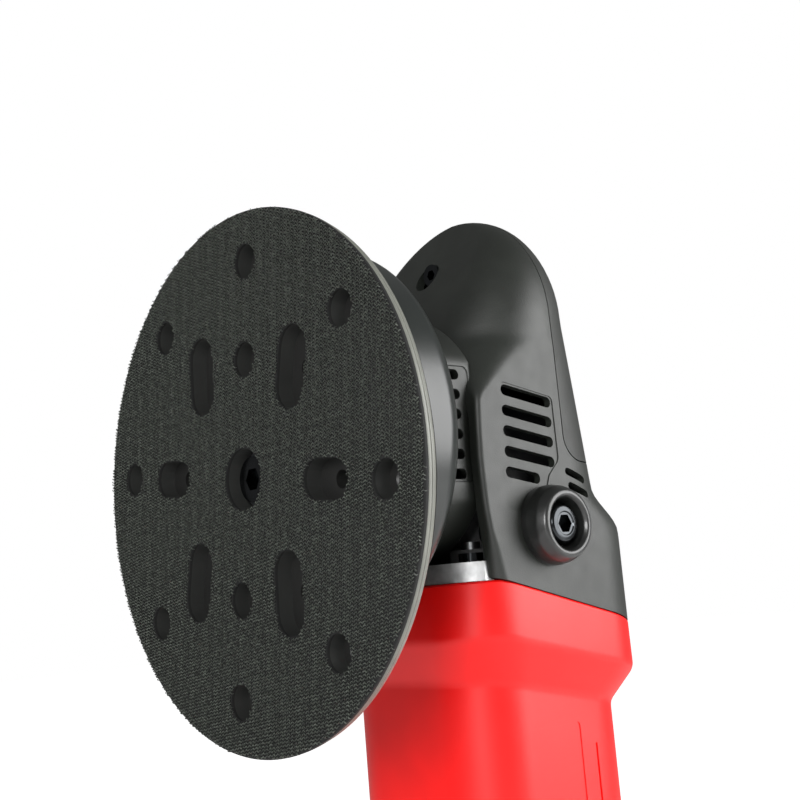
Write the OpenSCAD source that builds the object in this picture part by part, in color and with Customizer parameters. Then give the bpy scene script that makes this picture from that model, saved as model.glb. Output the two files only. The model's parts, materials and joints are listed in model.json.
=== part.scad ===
// Dual action polisher with a 150 mm hook-faced backing pad.
// Frame: +Z up along the motor's axis, pad facing -Y, origin at the centre of the butt's flat face.

/* [Backing pad] */
// Diameter of the backing pad
pad_d = 150; // [140:1:165]
// Thickness of the hook face
hook_t = 1.4; // [1:0.1:2.5]
// Thickness of the cushion layer with its smooth rim
cushion_t = 4.6; // [3.5:0.1:6]
// Depth of the rigid dish behind the cushion
dish_t = 6; // [4.5:0.1:6.5]
// Angle of the hole pattern about the pad's axis
pattern_turn = -7; // [-45:1:45]
// Diameter of the round air holes in the face
air_hole_d = 10; // [6:0.5:11]
// Diameter of the small holes through the dish
dish_hole_d = 5; // [3:0.5:5.5]
// Diameter of the hole for the pad bolt's head
centre_hole_d = 17.5; // [16:0.5:20]
// Circle of the eight outer holes, measured across
outer_ring_d = 122.7; // [116:0.1:126]
// Distance of the two inner round holes from the pad's axis
inner_hole_r = 33.5; // [32:0.1:35]
// Distance of the two level slots from the pad's axis
level_slot_r = 37.5; // [36:0.1:39]

/* [Orbit] */
// Throw: the width of the orbit that the pad's axis draws
throw_d = 21; // [15:0.5:21]
// Radius of the orbit bearings' bore
orbit_shaft_r = 6; // [5.5:0.1:6.5]
// Outer radius of the orbit bearings
orbit_bearing_r = 14; // [13.5:0.1:15]
// Width of one orbit bearing
orbit_bearing_w = 8; // [7:0.5:8.5]
// Outer radius of the counterweight's lobe
lobe_r = 47; // [38:1:49]

/* [Head] */
// Distance of the hook face from the motor's axis
reach = 86.5; // [86:0.5:92]
// Height of the drive spindle's axis above the butt
spindle_h = 325; // [322:1:390]
// Radius of the round shroud behind the pad
shroud_r = 57; // [54:0.5:60]
// Radius of the vented collar
collar_r = 38; // [36.5:0.5:39]
// Half the width across the vented collar's side flats
collar_half = 34; // [33:0.5:35.5]
// Half the width of the head cover
head_half = 38.5; // [38:0.5:41]
// Radius of the head cover's dome, seen from the pad
dome_r = 36.1; // [34:0.1:38]
// Height of the top of the dome above the drive spindle
dome_top = 76; // [70:0.5:84]
// Wall of the head cover
cover_t = 3; // [2:0.1:3.2]
// Height of one cooling slot in the head cover
vent_h = 3.4; // [2:0.1:4.5]
// Distance between cooling slots
vent_pitch = 6.1; // [5.5:0.1:7]
// Angle of the parting line, falling away from the pad
parting_slope = 15; // [8:0.5:16]

/* [Drive] */
// Teeth on the bevel gear
gear_teeth = 38; // [34:1:40]
// Teeth on the pinion
pinion_teeth = 12; // [12:1:14]
// Module of the bevel teeth at their large end
tooth_module = 1.05; // [1:0.05:1.1]
// Length of the bevel teeth
tooth_len = 6; // [5:0.5:7]
// Radius of the drive spindle at its front bearing
spindle_r = 7.5; // [7:0.1:8]
// Outer radius of the spindle's front bearing
spindle_bearing_r = 17.5; // [17:0.1:18]
// Width of the spindle's front bearing
spindle_bearing_w = 11; // [9:0.5:12]

/* [Motor] */
// Half the width of the motor housing's collar
collar_box_half = 39; // [38.5:0.5:43]
// Half the width of the motor housing's body
body_half = 33; // [32:0.5:37]
// Corner radius of the motor housing
corner_r = 20; // [14:0.5:21]
// Wall of the motor housing
body_t = 3; // [2.5:0.1:4]
// Radius of the armature's core
armature_r = 19; // [17:0.1:19.5]
// Air gap between the armature and the field
air_gap = 0.6; // [0.4:0.1:1]
// Length of the armature's core
core_len = 46; // [36:1:47]
// Radius of the armature's shaft
shaft_r = 5; // [4.5:0.1:5.5]
// Radius of the commutator
commutator_r = 11; // [10:0.1:12]
// Radius of the cooling fan
fan_r = 27; // [24:0.5:28]
// Number of blades on the cooling fan
fan_blades = 11; // [7:2:15]

/* [Handle] */
// Height of the rear handle
handle_h = 134; // [132:1:150]
// Half the width of the grip
grip_half_w = 26; // [26:0.5:29]
// Half the depth of the grip
grip_half_d = 25; // [25:0.5:28]
// Half the width of the butt
butt_half = 34; // [33:0.5:40]
// Wall of the handle's shells
handle_t = 2.8; // [2.4:0.1:3]
// Width of the trigger
trigger_w = 16; // [12:0.5:20]
// Length of the trigger
trigger_len = 50; // [40:1:54]
// Radius of the speed dial
dial_r = 14; // [12:0.5:15]
// Width of the speed dial
dial_w = 7; // [5:0.5:9]
// Radius of the lock button
lock_r = 4.5; // [3.5:0.1:6]
// Bore of the cord gland
gland_bore_r = 4.2; // [3:0.1:5]

/* [Clearances] */
// Radial clearance of a running fit
running_gap = 0.03; // [0.01:0.01:0.08]
// Gap between pieces that only lie side by side
side_gap = 0.4; // [0.3:0.1:0.8]

/* [Hidden] */
$fn = 64;

eps = 0.01;
far = 300;
screw_r = 2;
screw_head_r = 3.6;
screw_head_h = 2.6;
fit = 0.02;

// Pad layers, as distances behind the hook face
pad_r = pad_d / 2;
cushion_back = hook_t + cushion_t;
dish_back = cushion_back + dish_t;
hub_r = 19;
hub_back = dish_back + 5;
insert_r = 9.5;
insert_front = 7.6;
bolt_r = 4;
bolt_head_r = 6.5;
bolt_head_h = 5;
outer_ring_r = outer_ring_d / 2;
level_slot_len = 18.5;
level_slot_w = 11;
tall_slot_x = 22.2;
tall_slot_z = 30;
tall_slot_len = 23;
tall_slot_w = 12.5;
tall_slot_tilt = 6;

// Orbit drive, as distances behind the hook face
orbit = throw_d / 2;
flange_t = 2.6;
orbit_flange_r = 8.6;
bearing_front = hub_back + flange_t;
bearing_back = bearing_front + 2 * orbit_bearing_w;
weight_front = hub_back + 2.2;
weight_wall = 4;
weight_hub_r = orbit_bearing_r + weight_wall;
web_t = 3;
nose_front = bearing_back + web_t;
nose_len = 7;
nose_back = nose_front + nose_len;
shroud_back = 33;
shroud_t = 2.2;
shroud_screw_head_h = 1.8;
rotor_gap = 0.7;
lobe_t = shroud_back - shroud_t - shroud_screw_head_h - rotor_gap - weight_front;
lobe_angle = 76;

// Drive spindle, as distances behind the hook face
front_bearing_at = nose_back + 1.2;
front_bearing_end = front_bearing_at + spindle_bearing_w;
gear_pitch_r = tooth_module * gear_teeth / 2;
pinion_pitch_r = tooth_module * pinion_teeth / 2;
mesh_length = sqrt(gear_pitch_r * gear_pitch_r + pinion_pitch_r * pinion_pitch_r);
gear_cone = atan(gear_pitch_r / pinion_pitch_r);
tooth_backlash = 0.4;
blank_inner = (mesh_length - tooth_len - tooth_backlash) / mesh_length;
gear_large_end = reach - pinion_pitch_r;
gear_web = 7;
gear_seat_r = 6.5;
tail_r = 5;
bushing_front = reach + 5.5;
bushing_len = 8;
tail_end = bushing_front + bushing_len - 0.6;
clip_t = 1.2;

// Bevel teeth: heights as shares of the module, and half widths at the large end
addendum = 0.7 * tooth_module;
dedendum = 1.15 * tooth_module;
tooth_half = 0.5 * tooth_module;
tooth_slope = 0.36;
tooth_sink = 0.2;
gear_face = reach + tooth_point(gear_cone, blank_inner, -dedendum, 0)[2];

// Gear case
case_r = 24;
case_bore_r = gear_pitch_r + 1.9;
case_front = front_bearing_at - 0.4;
case_back = bushing_front + bushing_len + 2;
neck_r = 22;
neck_bore_r = 12;
foot_r = 32;
foot_t = 4;
parting_front = -43.6;
plate_t = 5.5;
plate_bottom = parting_front;
plate_top = plate_bottom + plate_t;
spigot_len = 10;
spigot_r = 29.5;
case_screw_at = 19.8;
plate_screw_at = 28.5;

// Shroud and collar, as distances behind the hook face
shroud_front = 13;
shroud_round = 7;
shroud_hole_r = 30;
collar_back = 59.5;
collar_t = 2.6;
collar_web_t = 3;
collar_slot_h = 3.4;
collar_slot_pitch = 5.6;
collar_slots = 6;
shroud_screw_ring = 34.5;

// Head cover, as distances behind the hook face and heights above the spindle
collar_slot_top = 14.8;
collar_slot_from = 38;
collar_slot_to = 54.5;
cover_front = 60.3;
mid_back = 117.3;
back_draft = 0.118;
dome_mid = 90.3;
dome_start = 30;
dome_slope = 0.66;
dome_soft = 6;
half_from = 39;
back_from = 39.5;
back_power = 2.4;
dome_front_round = 28;
dome_back_round = 28;
mid_low = -17;
mid_high = 14;
shoulder_z = -30.5;
back_round = 20;
front_round = 2.4;
slice_heights = [mid_low, -4, mid_high, 18, 22, 26, 32, 38, 44, 50, 56, 61, 66, 70, 73, 75, 75.8];
vent_front = 68;
vent_top = 13.3;
vent_tilt = -9.5;
vent_len = 20.4;
vents = 5;
ring_s = 81;
ring_z = -29;
ring_r = 12;
ring_recess_r = 8.5;
ring_out = 9.3;
side_bolt_r = 4;
side_bolt_head_r = 5.5;
side_bolt_head_h = 5;
boss_r = 8;
boss_end = 33;
grip_front = 92;
grip_low = -9;
grip_corner = 8;
grip_t = 1.7;
cover_screw_s = 81.5;
cover_screw_z = 57.2;
cover_screw_recess_r = 4.2;
cover_screw_len = 12;
post_gap = 0.05;
boss_wall = 2;
boss_web = 5;
post_half = 5;
post_len = 9;
post_front = cover_screw_s + boss_web + post_gap;

// Motor housing, as heights above the butt
parting_z = spindle_h + parting_front;
chamfer_high = spindle_h - 60;
chamfer_low = spindle_h - 72;
ledge_top = spindle_h + plate_bottom;
body_low = handle_h;
bulkhead_z = handle_h + 2;
bulkhead_t = 3;
core_low = 188;
core_high = core_low + core_len;
winding_h = 9;
stator_bore_r = armature_r + air_gap;
coil_r = stator_bore_r + 6;
coil_out = 8;
stator_half = body_half - body_t;
stator_corner_r = corner_r - body_t;
fan_low = core_high + winding_h + 5.5;
fan_h = 12;
baffle_low = core_high + winding_h + 1.6;
baffle_t = 2;
motor_front_bearing_r = 15;
motor_front_bearing_w = 9;
motor_front_bearing_low = spindle_h + plate_bottom - 8;
motor_rear_bearing_r = 11;
motor_rear_bearing_w = 7;
motor_rear_bearing_low = handle_h + 6;
rear_shaft_r = 4;
commutator_low = motor_rear_bearing_low + motor_rear_bearing_w + 8;
commutator_h = 16;
brush_z = commutator_low + commutator_h / 2;
brush_half = 3;
brush_len = 9;
holder_wall = 1.2;
cap_r = 7;
brush_in = commutator_r + 0.15;
holder_in = commutator_r + 1.6;
cap_in = body_half - 4.5;
pinion_back = spindle_h - gear_pitch_r;
pinion_seat_r = 2.5;
pinion_hub_r = 6.3;
pinion_hub_low = pinion_back - 5;

// Handle, as heights above the butt
cap_t = 4;
butt_top = 14;
grip_low_z = 42;
grip_high_z = handle_h - 29;
trigger_low = 48;
trigger_high = trigger_low + trigger_len;
trigger_pin_r = 1.75;
trigger_pin_y = -(grip_half_d - 6);
trigger_pin_z = trigger_high + 1;
trigger_proud = 7.5;
trigger_depth = 12;
spring_r = 3;
switch_front = -grip_half_d + 12.5;
spring_z = trigger_low + 12;
lock_y = -8;
lock_z = handle_h - 26;
lock_proud = 3;
lock_len = 15;
dial_z = handle_h - 17;
dial_proud = 2.6;
dial_y = grip_half_d + 2.2 + dial_proud - dial_r;
dial_shaft_r = 3;
gland_y = 8;
gland_r = 8;
gland_len = 16;
handle_screw_y = 18;
handle_screw_zs = [24, 40, 92];

// Children of at_head are placed by distance behind the hook face (y) and height above the spindle (z)
module at_head() {
    translate([0, -reach, spindle_h]) children();
}

// Children of at_orbit are placed about the pad's own axis
module at_orbit() {
    translate([0, -reach, spindle_h - orbit]) children();
}

// Round bar along Y from y0 to y1
module bar_y(r, y0, y1) {
    translate([0, y0, 0]) rotate([-90, 0, 0]) cylinder(h = y1 - y0, r = r);
}

// Round bar along X from x0 to x1
module bar_x(r, x0, x1) {
    translate([x0, 0, 0]) rotate([0, 90, 0]) cylinder(h = x1 - x0, r = r);
}

// Round bar along Z from z0 to z1
module bar_z(r, z0, z1) {
    translate([0, 0, z0]) cylinder(h = z1 - z0, r = r);
}

// Solid turned about the Y axis; points are [radius, distance behind the hook face]
module turned_y(points) {
    rotate([-90, 0, 0]) rotate_extrude($fn = 128) polygon(points);
}

// Rectangle with round corners, centred
module round_rect(half_x, half_y, r) {
    square([2 * (half_x - r), 2 * half_y], center = true);
    square([2 * half_x, 2 * (half_y - r)], center = true);
    for (x = [-1, 1], y = [-1, 1]) translate([x * (half_x - r), y * (half_y - r)]) circle(r);
}

// Upright prism with round corners from z0 to z1
module round_prism(half_x, half_y, r, z0, z1) {
    translate([0, 0, z0]) linear_extrude(z1 - z0) round_rect(half_x, half_y, r);
}

// Box given by its two corners
module box(low, high) {
    translate(low) cube(high - low);
}

// Ring about the Z axis
module ring_z(r_in, r_out, z0, z1) {
    difference() {
        bar_z(r_out, z0, z1);
        bar_z(r_in, z0 - 1, z1 + 1);
    }
}

// Ring about the Y axis
module ring_y(r_in, r_out, y0, y1) {
    difference() {
        bar_y(r_out, y0, y1);
        bar_y(r_in, y0 - 1, y1 + 1);
    }
}

// Small screw along Z with its head's underside at z = 0 and its shank below
module screw_z(r, len, head_r, head_h) {
    difference() {
        union() {
            bar_z(r, -len, eps);
            bar_z(head_r, 0, head_h);
        }
        cylinder(h = 3 * head_h, r = head_r * 0.5, center = false, $fn = 6);
    }
}

// ---- Ball bearings: races with a groove, and the balls between them ----
function ball_ring_r(r_in, r_out) = (r_in + r_out) / 2;
function ball_r(r_in, r_out) = (r_out - r_in) * 0.27;

module race_inner(r_in, r_out, w) {
    rb = ball_r(r_in, r_out);
    rm = ball_ring_r(r_in, r_out);
    rotate_extrude($fn = 96) difference() {
        translate([r_in, 0]) square([rm - rb * 0.55 - r_in, w]);
        translate([rm, w / 2]) circle(rb + side_gap / 4, $fn = 48);
    }
}

module race_outer(r_in, r_out, w) {
    rb = ball_r(r_in, r_out);
    rm = ball_ring_r(r_in, r_out);
    rotate_extrude($fn = 96) difference() {
        translate([rm + rb * 0.55, 0]) square([r_out - rm - rb * 0.55, w]);
        translate([rm, w / 2]) circle(rb + side_gap / 4, $fn = 48);
    }
}

module ball_set(r_in, r_out, w, count) {
    for (i = [0:count - 1]) rotate(i * 360 / count)
        translate([ball_ring_r(r_in, r_out), 0, w / 2]) sphere(ball_r(r_in, r_out), $fn = 32);
}

// Turns a bearing's own axis from Z to Y
module along_y(y) {
    translate([0, y, 0]) rotate([-90, 0, 0]) children();
}

// ---- Backing pad ----
module slot_y(len_x, len_z, y0, y1) {
    r = min(len_x, len_z) / 2;
    translate([0, y1, 0]) rotate([90, 0, 0]) linear_extrude(y1 - y0) {
        square([len_x - (len_x > len_z ? 2 * r : 0), len_z - (len_z > len_x ? 2 * r : 0)], center = true);
        for (k = [-1, 1]) translate([k * (len_x / 2 - r), k * (len_z / 2 - r)]) circle(r);
    }
}

// The face's hole pattern, cut from y0 to y1
module face_pattern(y0, y1) {
    rotate([0, -pattern_turn, 0]) {
        for (a = [0:45:315]) rotate([0, a, 0]) translate([outer_ring_r, 0, 0]) bar_y(air_hole_d / 2, y0, y1);
        for (k = [-1, 1]) {
            translate([0, 0, k * inner_hole_r]) bar_y(air_hole_d / 2, y0, y1);
            translate([k * level_slot_r, 0, 0]) slot_y(level_slot_len, level_slot_w, y0, y1);
            for (m = [-1, 1]) translate([k * tall_slot_x, 0, m * tall_slot_z])
                rotate([0, k * m * tall_slot_tilt, 0]) slot_y(tall_slot_w, tall_slot_len, y0, y1);
        }
        bar_y(centre_hole_d / 2, y0, y1);
    }
}

module hook_face() {
    color("#1c1c1e") at_orbit() difference() {
        bar_y(pad_r - 0.4, 0, hook_t);
        face_pattern(-1, hook_t + 1);
    }
}

module pad_cushion() {
    groove = 0.35;
    color("#8f8d8a") at_orbit() difference() {
        turned_y([[0, hook_t], [pad_r - 0.5, hook_t], [pad_r, hook_t + 0.5], [pad_r, hook_t + 2],
            [pad_r - groove, hook_t + 2.2], [pad_r, hook_t + 2.4], [pad_r, cushion_back - 0.6],
            [pad_r - 0.6, cushion_back], [0, cushion_back]]);
        face_pattern(hook_t - 1, cushion_back + 1);
    }
}

module pad_dish() {
    color("#55544f") at_orbit() difference() {
        turned_y([[insert_r + fit, cushion_back], [pad_r - 1.5, cushion_back],
            [pad_r - 4, cushion_back + 2.2],
            [pad_r - 22, dish_back - 0.4], [hub_r + 8, dish_back], [hub_r, dish_back + 2],
            [hub_r, hub_back], [insert_r + fit, hub_back]]);
        rotate([0, -pattern_turn, 0]) {
            for (a = [0:45:315]) rotate([0, a, 0]) translate([outer_ring_r, 0, 0])
                bar_y(dish_hole_d / 2, 0, far);
            for (k = [-1, 1]) {
                translate([0, 0, k * inner_hole_r]) bar_y(dish_hole_d / 2, 0, far);
                translate([k * level_slot_r, 0, 0]) bar_y(dish_hole_d / 2, 0, far);
                for (m = [-1, 1]) translate([k * 22.2, 0, m * 30]) bar_y(dish_hole_d / 2, 0, far);
            }
        }
    }
}

module pad_insert() {
    color("#a7a9ab") at_orbit() difference() {
        bar_y(insert_r, insert_front, hub_back);
        bar_y(bolt_r + fit, 0, far);
        bar_y(bolt_head_r + side_gap, 0, insert_front + 1);
    }
}

module pad_bolt() {
    head_at = insert_front + 1;
    color("#6d6f72") at_orbit() difference() {
        union() {
            bar_y(bolt_head_r, head_at - bolt_head_h, head_at);
            bar_y(bolt_r, head_at - eps, bearing_front + 9);
        }
        translate([0, head_at - bolt_head_h - eps, 0]) rotate([-90, 0, 0])
            cylinder(h = 3.4, r = 3.4, $fn = 6);
    }
}

// ---- Orbit drive ----
module orbit_spindle() {
    color("#9fa1a4") at_orbit() difference() {
        union() {
            bar_y(orbit_flange_r, hub_back, bearing_front);
            bar_y(orbit_shaft_r, bearing_front - eps, bearing_back - 0.6);
        }
        bar_y(bolt_r + fit, 0, bearing_front + 9.5);
    }
}

module orbit_bearing_inner() {
    color("#c3c5c7") at_orbit() for (i = [0, 1]) along_y(bearing_front + i * orbit_bearing_w)
        race_inner(orbit_shaft_r, orbit_bearing_r, orbit_bearing_w);
}

module orbit_bearing_outer() {
    color("#b5b7b9") at_orbit() for (i = [0, 1]) along_y(bearing_front + i * orbit_bearing_w)
        race_outer(orbit_shaft_r, orbit_bearing_r, orbit_bearing_w);
}

module orbit_bearing_balls() {
    color("#d5d7d9") at_orbit() for (i = [0, 1]) along_y(bearing_front + i * orbit_bearing_w)
        ball_set(orbit_shaft_r, orbit_bearing_r, orbit_bearing_w, 9);
}

module orbit_clip() {
    color("#55585b") at_orbit() ring_y(orbit_bearing_r - 2.6, orbit_bearing_r + 1, bearing_front - clip_t,
        bearing_front);
}

// Sector of a ring about Y, centred on +Z, with half angle a
module sector_y(r_in, r_out, y0, y1, a) {
    along_y(y0) rotate(-90 - a) rotate_extrude(angle = 2 * a, $fn = 128)
        translate([r_in, 0]) square([r_out - r_in, y1 - y0]);
}

module counterweight() {
    color("#77797b") at_head() difference() {
        union() {
            translate([0, 0, -orbit]) bar_y(weight_hub_r, weight_front, nose_front);
            bar_y(13, bearing_back, nose_back);
            sector_y(5, lobe_r, weight_front, weight_front + lobe_t, lobe_angle);
        }
        translate([0, 0, -orbit]) {
            bar_y(orbit_bearing_r, bearing_front - clip_t, bearing_back);
            bar_y(orbit_bearing_r + 1, bearing_front - clip_t, bearing_front);
            bar_y(orbit_bearing_r - 1.5, 0, bearing_front);
        }
        bar_y(spindle_r - 0.5, nose_front, nose_back + 1);
    }
}

// ---- Bevel drive ----
module drive_spindle() {
    color("#a3a5a8") at_head() {
        bar_y(spindle_r - 0.5, nose_front, front_bearing_at + eps);
        bar_y(spindle_r, front_bearing_at, front_bearing_end);
        bar_y(spindle_r - 0.3, front_bearing_end - eps, gear_large_end - gear_web);
        bar_y(gear_seat_r, gear_large_end - gear_web - eps, gear_face);
        bar_y(tail_r, gear_large_end, tail_end);
    }
}

// One bevel tooth pointing along +X, on a pitch cone of half angle a about +Z with its tip at the origin
function tooth_point(a, k, h, w) =
    let (along = mesh_length * k, up = h * k)
    [along * sin(a) + up * cos(a), w * k, -along * cos(a) + up * sin(a)];

module bevel_tooth(a) {
    inner = (mesh_length - tooth_len) / mesh_length;
    low = -dedendum - tooth_sink;
    w_low = tooth_half - low * tooth_slope;
    w_top = tooth_half - addendum * tooth_slope;
    polyhedron(
        points = [for (k = [1, inner]) each [tooth_point(a, k, low, -w_low), tooth_point(a, k, low, w_low),
            tooth_point(a, k, addendum, w_top), tooth_point(a, k, addendum, -w_top)]],
        faces = [[3, 2, 1, 0], [4, 5, 6, 7], [1, 5, 4, 0], [2, 6, 5, 1], [3, 7, 6, 2], [0, 4, 7, 3]]);
}

// Root cone of a bevel gear, turned about Z, ending in a flat hub behind its large end
module bevel_blank(a, hub_r, hub_low, bore_r) {
    outer = (mesh_length + 0.3) / mesh_length;
    p = tooth_point(a, outer, -dedendum, 0);
    q = tooth_point(a, blank_inner, -dedendum, 0);
    rotate_extrude($fn = 128) polygon([[bore_r, q[2]], [q[0], q[2]], [p[0], p[2]],
        [p[0], p[2] - 1], [hub_r, hub_low], [bore_r, hub_low]]);
}

module bevel_gear() {
    color("#8d8f92") at_head() translate([0, reach, 0]) rotate([-90, 0, 0]) {
        bevel_blank(gear_cone, 12, -pinion_pitch_r - gear_web, gear_seat_r + fit);
        for (i = [0:gear_teeth - 1]) rotate(90 + i * 360 / gear_teeth) bevel_tooth(gear_cone);
    }
}

module gear_clip() {
    color("#4f5255") at_head() ring_y(tail_r, gear_seat_r + 2, gear_face, gear_face + clip_t);
}

module pinion() {
    color("#8d8f92") translate([0, 0, spindle_h]) {
        bevel_blank(90 - gear_cone, pinion_hub_r, pinion_hub_low - spindle_h, pinion_seat_r + fit);
        for (i = [0:pinion_teeth - 1]) rotate(-90 + (i + 0.5) * 360 / pinion_teeth)
            bevel_tooth(90 - gear_cone);
    }
}

module spindle_bearing_inner() {
    color("#c3c5c7") at_head() along_y(front_bearing_at)
        race_inner(spindle_r, spindle_bearing_r, spindle_bearing_w);
}

module spindle_bearing_outer() {
    color("#b5b7b9") at_head() along_y(front_bearing_at)
        race_outer(spindle_r, spindle_bearing_r, spindle_bearing_w);
}

module spindle_bearing_balls() {
    color("#d5d7d9") at_head() along_y(front_bearing_at)
        ball_set(spindle_r, spindle_bearing_r, spindle_bearing_w, 9);
}

module rear_bushing() {
    color("#a98a4e") at_head() ring_y(tail_r + running_gap, tail_r + 3, bushing_front,
        bushing_front + bushing_len);
}

module bearing_retainer() {
    color("#5b5d60") at_head() ring_y(13.6, 21.5, case_front - 3, case_front);
}

// ---- Gear case ----
module gear_case() {
    color("#2b2c2e") difference() {
        union() {
            at_head() bar_y(case_r, case_front, case_back);
            bar_z(neck_r, spindle_h + plate_top, spindle_h);
            intersection() {
                bar_z(foot_r, spindle_h + plate_top, spindle_h + plate_top + foot_t);
                at_head() box([-far, collar_back + side_gap, -far], [far, far, far]);
            }
            for (k = [-1, 1]) at_head() translate([0, ring_s, ring_z])
                bar_x(boss_r, k > 0 ? 12 : -boss_end, k > 0 ? boss_end : -12);
            at_head() box([-post_half, post_front, case_r - 1.5],
                [post_half, post_front + post_len, cover_screw_z + 4.5]);
        }
        at_head() translate([0, 0, cover_screw_z]) bar_y(screw_r + fit, 0, far);
        at_head() {
            bar_y(spindle_bearing_r, 0, front_bearing_end);
            bar_y(spindle_bearing_r - 1.6, 0, front_bearing_end + 2);
            bar_y(case_bore_r, front_bearing_end + 1.5, bushing_front - 1);
            bar_y(tail_r + 3, bushing_front - 2, bushing_front + bushing_len);
        }
        bar_z(neck_bore_r, spindle_h + plate_top - 1, spindle_h);
        for (k = [-1, 1]) at_head() translate([0, ring_s, ring_z])
            bar_x(side_bolt_r + fit, k > 0 ? 16 : -far, k > 0 ? far : -16);
        for (x = [-1, 1], y = [-1, 1]) translate([x * case_screw_at, y * case_screw_at, 0])
            bar_z(screw_r + fit, 0, far * 2);
    }
}

module gear_case_screws() {
    color("#8b8d90") for (x = [-1, 1], y = [-1, 1])
        translate([x * case_screw_at, y * case_screw_at, spindle_h + plate_top + foot_t])
            screw_z(screw_r, foot_t + 4, screw_head_r - 0.8, 2.2);
}

// Plate's outline: inside the cover's walls, and out to the housing's edge in front of them
module plate_outline() {
    room = cover_t + side_gap;
    intersection() {
        union() {
            round_prism(collar_box_half - room, collar_box_half - room, corner_r - room,
                spindle_h + plate_bottom, spindle_h + plate_top);
            intersection() {
                round_prism(collar_box_half - 0.6, collar_box_half - 0.6, corner_r - 0.6,
                    spindle_h + plate_bottom, spindle_h + plate_top);
                box([-far, -far, 0], [far, cover_front - reach - side_gap, far * 2]);
            }
        }
        box([-head_half + room, -far, 0], [head_half - room, far, far * 2]);
    }
}

module bearing_plate() {
    color("#c9cbcd") difference() {
        union() {
            plate_outline();
            bar_z(spigot_r, spindle_h + plate_bottom - spigot_len, spindle_h + plate_top);
        }
        bar_z(motor_front_bearing_r, 0, motor_front_bearing_low + motor_front_bearing_w);
        bar_z(neck_bore_r, 0, far * 2);
        bar_z(spigot_r - 4, 0, motor_front_bearing_low - eps);
        for (x = [-1, 1], y = [-1, 1]) translate([x * plate_screw_at, y * plate_screw_at, 0])
            bar_z(screw_r + fit, 0, far * 2);
        for (x = [-1, 1], y = [-1, 1]) translate([x * case_screw_at, y * case_screw_at, 0])
            bar_z(screw_r + fit, spindle_h + plate_bottom - 1, far * 2);
    }
}

module plate_screws() {
    color("#303134") for (x = [-1, 1], y = [-1, 1])
        translate([x * plate_screw_at, y * plate_screw_at, spindle_h + plate_top])
            screw_z(screw_r, 14, screw_head_r, screw_head_h);
}

// ---- Shroud and vented collar ----
module shroud() {
    r = shroud_r;
    k = shroud_round;
    color("#3a3c3d") at_head() difference() {
        turned_y([[shroud_hole_r, shroud_back - shroud_t], [r - k, shroud_back - shroud_t],
            [r - shroud_t, shroud_back - k], [r - shroud_t + 0.6, shroud_front], [r + 0.6, shroud_front],
            [r, shroud_back - k], [r - k * 0.29, shroud_back - k * 0.29], [r - k, shroud_back],
            [shroud_hole_r, shroud_back]]);
        for (a = [45:90:315]) rotate([0, a, 0]) translate([shroud_screw_ring, 0, 0])
            bar_y(screw_r + fit, 0, far);
    }
}

module vent_collar() {
    rows = [for (i = [0:collar_slots - 1]) collar_slot_top - i * collar_slot_pitch];
    color("#2f3132") at_head() difference() {
        intersection() {
            bar_y(collar_r, shroud_back, collar_back);
            box([-collar_half, 0, -far], [collar_half, far, far]);
        }
        difference() {
            intersection() {
                bar_y(collar_r - collar_t, shroud_back - 1, collar_back - collar_web_t);
                box([-collar_half + collar_t, 0, -far], [collar_half - collar_t, far, far]);
            }
            for (a = [45:90:315]) rotate([0, a, 0]) translate([shroud_screw_ring, 0, 0])
                bar_y(4.4, 0, far);
        }
        bar_y(case_r + fit, 0, far);
        for (a = [45:90:315]) rotate([0, a, 0]) translate([shroud_screw_ring, 0, 0])
            bar_y(screw_r + fit, 0, shroud_back + 14);
        for (k = [-1, 1], z = rows) translate([k * collar_half, 0, z])
            box([-4, collar_slot_from, -collar_slot_h / 2], [4, collar_slot_to, collar_slot_h / 2]);
    }
}

module shroud_screws() {
    color("#7d7f82") at_head() for (a = [45:90:315]) rotate([0, a, 0])
        translate([shroud_screw_ring, shroud_back - shroud_t, 0]) rotate([90, 0, 0])
            screw_z(screw_r, 12, screw_head_r - 0.6, shroud_screw_head_h);
}

// ---- Head cover ----
// Outer form of the cover, pulled in by i on every side
// Share of the full width or depth left at a height, for a curve that closes at the top of the dome
function dome_lean(z, z0, p) =
    z <= z0 ? 1 : pow(max(0, 1 - pow((z - z0) / (dome_top - z0), p)), 1 / p);
function between(z, z0, z1, a, b) = a + (b - a) * min(1, max(0, (z - z0) / (z1 - z0)));
function section_half(z) = between(z, mid_high, half_from, head_half, dome_r) * dome_lean(z, half_from, 2);
function section_front(z) =
    min(dome_mid - 1, cover_front + dome_slope * dome_soft * ln(1 + exp((z - dome_start) / dome_soft)));
function section_back(z) = max(dome_mid + 1,
    dome_mid + (mid_back - (z - mid_low) * back_draft - dome_mid) * dome_lean(z, back_from, back_power));

// One thin plan slice of the head at a height, inset by i all round
module head_slice(z, i) {
    half = max(1, section_half(z) - i);
    front = min(dome_mid - 0.5, section_front(z) + i);
    back = max(dome_mid + 0.5, section_back(z) - i);
    most = min(half, (back - front) / 2) - 0.2;
    r_front = max(0.5, min(most, between(z, 10, dome_start, front_round, dome_front_round)));
    r_back = max(0.5, min(most, between(z, mid_low, half_from, back_round, dome_back_round)));
    for (x = [-1, 1]) {
        translate([x * (half - r_front), front + r_front, 0]) bar_z(r_front, z - 0.1, z, $fn = 40);
        translate([x * (half - r_back), back - r_back, 0]) bar_z(r_back, z - 0.1, z, $fn = 40);
    }
}

module head_form(i) {
    squeeze = (dome_top - i - mid_high) / (dome_top - mid_high);
    hull() for (z = slice_heights)
        translate([0, 0, z > mid_high ? (mid_high - z) * (1 - squeeze) : 0]) head_slice(z, i);
    intersection() {
        union() {
            round_prism_at(i, shoulder_z);
            hull() {
                round_prism_at(i, shoulder_z - 1, 1);
                head_slice(mid_low + 1, i);
            }
        }
        box([-far, cover_front + i, -far], [far, far, far]);
    }
}

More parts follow.
